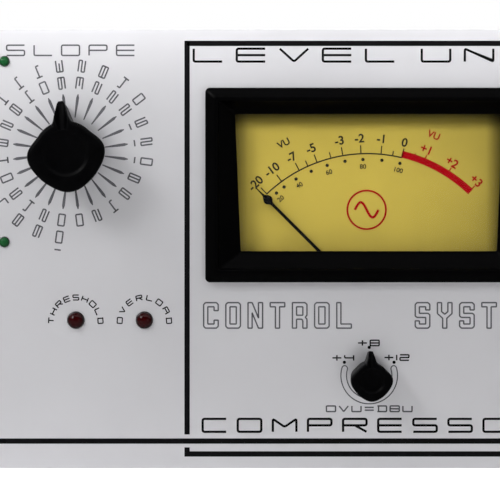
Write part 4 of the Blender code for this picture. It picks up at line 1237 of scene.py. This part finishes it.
def board_parts():
    """Rows of chips, resistors and small capacitors, with their leads, on both boards."""
    rng = random.Random(7)
    chips, legs, resistors, sleeves = [], [], [], []
    low, high, middle = box_mm("main_board")
    top = high.z
    places = [(low.x + 128 + 21 * i, low.y + 22 + 26 * j) for i in range(3) for j in range(4)]
    for x, y in places:
        chips.append(moved(block((-3.2, -9.5, 1.0), (3.2, 9.5, 4.4)), (x, y, top)))
        for pin in range(CHIP_PINS):
            for side in (-1, 1):
                foot = (x + side * 3.6, y - 8.9 + PIN_PITCH * pin, top)
                legs.append(moved(block((-0.4, -0.25, 0.0), (0.4, 0.25, 2.8)), foot))
    power_low, power_high, _ = box_mm("power_board")
    areas = (  # left, right, front, back, and how many places are drawn in them
        (low.x + 118, high.x - 30, low.y + 8, high.y - 60, 40),
        (power_low.x + 70, power_high.x - 10, power_low.y + 8, power_high.y - 8, 12),
    )
    for left, right, front, back, count in areas:
        for k in range(count):
            x, y = rng.uniform(left, right), rng.uniform(front, back)
            if any(abs(x - chip_x) < 8 and abs(y - chip_y) < 12.5 for chip_x, chip_y in places):
                continue
            if k % 3:
                resistors.append(moved(lathe(RESISTOR, 16), (x, y, top + 1.4)))
                legs.append(moved(lathe(RESISTOR_LEAD, 8), (x, y, top + 1.4)))
            else:
                sleeves.append(moved(lathe(CAN, 24), (x, y, top), 90))
    for x in (low.x + 18, middle.x + 20, high.x - 22):
        chips.append(moved(block((-9, -3, 0.2), (9, 3, 8)), (x, low.y + 7, top)))
    piece("board_chips", together(chips), "component_epoxy", bevel=0.25)
    piece("board_leads", together(legs), "tinned_wire")
    piece("board_resistors", together(resistors), "resistor_body")
    piece("board_small_capacitors", together(sleeves), "capacitor_sleeve")


def regulators():
    """Two regulators against the heat sink, each with a metal tab and three legs."""
    low, high, _ = box_mm("heat_sink")
    bodies, tabs = [], []
    for k in range(2):
        foot = (low.x + 12 + 20 * k, high.y + 0.3, low.z)
        bodies.append(moved(block((-5, 0.0, 6), (5, 4.4, 15)), foot))
        tabs.append(moved(block((-5, 0.0, 15), (5, 1.2, 21.5)), foot))
        for pin in (-2.5, 0, 2.5):
            tabs.append(moved(block((-0.4 + pin, 1.8, 0.0), (0.4 + pin, 2.4, 6.2)), foot))
    piece("regulators", together(bodies), "component_epoxy", bevel=0.3)
    piece("regulator_tabs", together(tabs), "tinned_wire")


def switch_lugs():
    """A ring of solder lugs on the back of each main control."""
    for name in MAIN:
        _, high, middle = box_mm(f"{name}_switch")
        lugs = []
        for k in range(POSITIONS):
            x, z = polar((middle.x, middle.z), 12.2, 7.5 + STEP * k)
            lugs.append(moved(block((-0.9, 0.0, -0.25), (0.9, 4.5, 0.25)), (x, high.y - 0.5, z)))
        piece(f"{name}_switch_lugs", together(lugs), "tinned_wire")


SHELL_R = 11.7
CONTACT_CIRCLE = 4.4


def connector_plate(node):
    """The flange of a round connector, bored for its shell and standing for the whole CAD connector.

    With it come its place, its face and the outside of its shell.
    """
    low, high, _ = box_mm(node)
    place, face = level_with(node), high.y
    outside = [(0, low.y), (SHELL_R, low.y), (SHELL_R, face + 0.2), (SHELL_R - 0.3, face + 0.5)]
    shape = prism(rounded_rectangle(13.0, 15.5, 2.5, 8), face - 2.0, face)
    plate = piece(f"{node}_plate", shape, "connector_black", at=place, replaces=node)
    bore_r = SHELL_R + 0.2
    carve(plate, [lathe([(0, face - 5), (bore_r, face - 5), (bore_r, face + 5), (0, face + 5)], 72)])
    soften(plate, 0.35)
    return place, face, outside


def contacts(start):
    """Places of the three contacts of a round connector, the first start degrees from straight up."""
    return [polar((0, 0), CONTACT_CIRCLE, start + turn) for turn in (0, 120, 240)]


def input_socket():
    """A shell with a core in it, bored for three contacts, and a notch for the release tab."""
    place, face, outside = connector_plate("input_xlr_socket")
    bottom = REAR - 12
    inside = [
        (9.7, face + 0.5), (9.4, face + 0.1), (9.4, bottom), (7.5, bottom), (7.5, face - 0.5),
        (7.2, face - 0.2), (0, face - 0.2),
    ]
    shell = piece("input_xlr_shell", lathe(outside + inside, 72), "connector_black", at=place)
    bore = [(0, bottom), (1.55, bottom), (1.55, face + 5), (0, face + 5)]
    tube = [(1.1, bottom + 1), (1.5, bottom + 1), (1.5, face - 0.9), (1.3, face - 0.7), (1.1, face - 1.1)]
    notch = block((-4.3, REAR - 6, 6.0), (4.3, face + 5, 11.3))
    spots = contacts(60)
    carve(shell, [notch] + [moved(lathe(bore, 32), (x, 0, z)) for x, z in spots])
    tubes = [moved(lathe(tube, 32, closed=True), (x, 0, z)) for x, z in spots]
    piece("input_xlr_contacts", together(tubes), "post_brass", at=place)


def output_plug():
    """An open shell with three pins, and the key ridge down its wall."""
    place, face, outside = connector_plate("output_xlr_plug")
    bottom = REAR - 14
    inside = [(9.9, face + 0.5), (9.6, face + 0.1), (9.6, bottom), (0, bottom)]
    piece("output_xlr_shell", lathe(outside + inside, 72), "connector_black", at=place)
    key = block((-1.2, bottom, -9.8), (1.2, face - 1.5, -8.6))
    piece("output_xlr_key", key, "connector_black", at=place, bevel=0.2)
    tip = REAR - 0.8
    foot = bottom - 0.2
    pin = [(0, foot), (1.2, foot), (1.2, tip - 1.2), (1.0, tip - 0.5), (0.55, tip - 0.1), (0, tip)]
    pins = [moved(lathe(pin, 32), (x, 0, z)) for x, z in contacts(0)]
    piece("output_xlr_pins", together(pins), "shaft_steel", at=place)


def inlet_pins():
    """Plated blades over the three pins of the mains inlet."""
    half_w, half_h = 1.06, 2.06
    blades = []
    for x, z in ((-7, 6), (0, 10), (7, 6)):
        blades.append(block((x - half_w, REAR - 14.0, z - half_h), (x + half_w, REAR + 0.6, z + half_h)))
    piece("power_inlet_blades", together(blades), "shaft_steel", at=level_with("power_inlet"), bevel=0.4)


def earth_post():
    """A stud with a plain collar and a knurled thumb nut."""
    low, high, _ = box_mm("ground_post")
    place = level_with("ground_post")
    stud_r, collar_r = 2.9, 6.5
    stud = [
        (0, low.y), (stud_r, low.y), (stud_r, REAR + 0.3), (collar_r - 0.2, REAR + 0.3),
        (collar_r, REAR + 0.5), (collar_r, REAR + 1.8), (collar_r - 0.2, REAR + 2.0), (stud_r, REAR + 2.0),
        (stud_r, high.y - 0.5), (stud_r - 0.5, high.y), (0, high.y),
    ]
    piece("ground_post_stud", lathe(stud, 64), "post_brass", at=place, replaces="ground_post")
    teeth = 48

    def knurl(radius, bite, y):
        """A circle with a groove of depth bite between each tooth and the next."""
        turns = [math.pi * i / teeth for i in range(2 * teeth)]
        reach = [radius - bite * (i % 2) for i in range(2 * teeth)]
        return at_y([(r * math.sin(turn), r * math.cos(turn)) for r, turn in zip(reach, turns)], y)

    bottom, top = REAR + 4.0, REAR + 10.0
    rings = [
        knurl(stud_r + 0.05, 0.0, bottom), knurl(5.2, 0.0, bottom), knurl(6.0, 0.45, bottom + 0.8),
        knurl(6.0, 0.45, top - 0.8), knurl(5.2, 0.0, top), knurl(stud_r + 0.05, 0.0, top),
    ]
    piece("ground_post_nut", loft(rings, closed=True), "post_brass", at=place)


REAR_WORDS = (  # node, word, and how far above the node's middle it stands
    ("input_xlr_socket", "INPUT", 20.0),
    ("output_xlr_plug", "OUTPUT", 20.0),
    ("ground_post", "EARTH", 12.0),
    ("power_inlet", "POWER", 31.0),
)


def rear_printing():
    """Plain names beside the rear connectors, read from behind."""
    texts = []
    for node, text, rise in REAR_WORDS:
        middle = box_mm(node)[2]
        texts.append((text, 3.0, (-middle.x, middle.z + rise), 0.0))
    made = lettering(texts, "rear_printing", "black_ink", 0.0)
    made.data.transform(Matrix.Rotation(math.pi, 4, "Z"))
    made.data.transform(Matrix.Translation((0, REAR * MM, 0)))


# ---------------------------------------------------------------- the room, in metres

FACE_M = FACE * MM
FLOOR_REACH = 40.0
CAMERA_DISTANCE, PICTURE_WIDTH = 0.575, 0.151  # in front of the panel, and the width seen there
EYE = (-0.0445, FACE_M - CAMERA_DISTANCE, 0.10975)
AIM = (-0.0360, 0.06445)  # x and z at the middle of the picture
SENSOR = 36.0


def holder_of(name, data):
    made = bpy.data.objects.new(name, data)
    bpy.context.scene.collection.objects.link(made)
    return made


def floor():
    """A pale floor that the camera sees as lit from below, more so far away."""
    turns = ((-1, -1), (1, -1), (1, 1), (-1, 1))
    corners = [(x * FLOOR_REACH, y * FLOOR_REACH, PANEL_LOW.z * MM) for x, y in turns]
    mesh = bpy.data.meshes.new("floor")
    mesh.from_pydata(corners, [], [(0, 1, 2, 3)])
    paint = finish("floor_paint", (0.9, 0.9, 0.9), rough=0.8, specular=0.1, mottle=0.01, mottle_mm=300.0)
    mesh.materials.append(paint)
    tree = paint.node_tree
    shader = tree.nodes["Principled BSDF"]
    seen = add(tree, "LightPath").outputs["Is Camera Ray"]
    away = add(tree, "VectorMath", {0: here(tree)}, operation="LENGTH").outputs["Value"]
    lift = maths(tree, "MULTIPLY", seen, between(tree, away, 0.6, 3.0, 0.55, 1.0))
    shader.inputs["Emission Color"].default_value = shade((1, 1, 1))
    tree.links.new(lift, shader.inputs["Emission Strength"])
    holder_of("floor", mesh)


def world():
    """White to the camera, and otherwise dark in front of the object and bright behind it."""
    made = bpy.data.worlds.new("studio")
    bpy.context.scene.world = made
    made.use_nodes = True
    tree = made.node_tree
    direction = add(tree, "TexCoord").outputs["Generated"]
    behind = add(tree, "SeparateXYZ", {"Vector": direction}).outputs["Y"]
    sky = between(tree, behind, 0.0, 0.8, 0.02, 0.8)
    seen = add(tree, "LightPath").outputs["Is Camera Ray"]
    level = add(tree, "Mix", {0: seen, 2: sky, 3: 1.0}).outputs[0]
    tree.links.new(level, tree.nodes["Background"].inputs["Strength"])
    tree.nodes["Background"].inputs["Color"].default_value = shade((1, 1, 1))


def light(name, place, aim, size, watts, spread=180):
    """A soft rectangular lamp at a place, turned to an aim."""
    data = bpy.data.lights.new(name, "AREA")
    data.shape = "RECTANGLE"
    data.size, data.size_y = size
    data.energy = watts
    data.spread = math.radians(spread)
    holder = holder_of(name, data)
    holder.location = place
    holder.rotation_euler = (Vector(aim) - Vector(place)).to_track_quat("-Z", "Y").to_euler()


def lights():
    panel = (0.0, FACE_M, MID_Z * MM)
    light("key_light", (-0.7, FACE_M - 0.75, 0.6), panel, (0.3, 0.3), 5.2)
    light("near_left_light", (-0.45, FACE_M - 0.35, 0.45), panel, (0.15, 0.15), 0.9)
    light("right_fill_light", (0.5, -0.9, 0.1), (0.0, FACE_M, 0.03), (0.4, 0.2), 0.4)
    light("top_strip", (0.04, FACE_M - 0.05, 0.19), (0.04, FACE_M, 0.11), (0.9, 0.03), 0.25)
    light("panel_strip", (0.04, FACE_M - 0.10, 0.17), (0.04, FACE_M, 0.13), (0.9, 0.03), 0.36)
    light("back_light", (0.5, 1.6, 1.6), (0, 0, 0), (1.2, 1.2), 14.0)
    light("overhead_light", (0.0, 0.14, 1.0), (0, 0.13, 0), (0.4, 0.08), 0.7, spread=24)


def camera():
    """A level camera whose picture is shifted, but only while it stands in its own place."""
    data = bpy.data.cameras.new("camera")
    holder = holder_of("camera", data)
    holder.location = EYE
    holder.rotation_euler = (math.radians(90), 0, 0)
    data.sensor_width = SENSOR
    data.lens = SENSOR * CAMERA_DISTANCE / PICTURE_WIDTH
    data.clip_start = 0.01
    shifts = {"shift_x": (AIM[0] - EYE[0]) / PICTURE_WIDTH, "shift_y": (AIM[1] - EYE[2]) / PICTURE_WIDTH}
    for path, amount in shifts.items():
        driver = data.driver_add(path).driver
        driver.type = "SCRIPTED"
        variable = driver.variables.new()
        variable.name = "y"
        variable.type = "TRANSFORMS"
        variable.targets[0].id = holder
        variable.targets[0].transform_type = "LOC_Y"
        variable.targets[0].transform_space = "WORLD_SPACE"
        driver.expression = f"{amount:.5f} if abs(y - {EYE[1]:.5f}) < 0.001 else 0.0"
    bpy.context.scene.camera = holder
    bpy.context.scene.view_settings.view_transform = "Standard"


front_printing()
controls()
lamps()
panel_screws()
meter_bezel()
meter_printing()
meter_pointer()
fasteners()
switch_lugs()
board_parts()
regulators()
wiring()
input_socket()
output_plug()
inlet_pins()
earth_post()
rear_printing()
floor()
world()
lights()
camera()
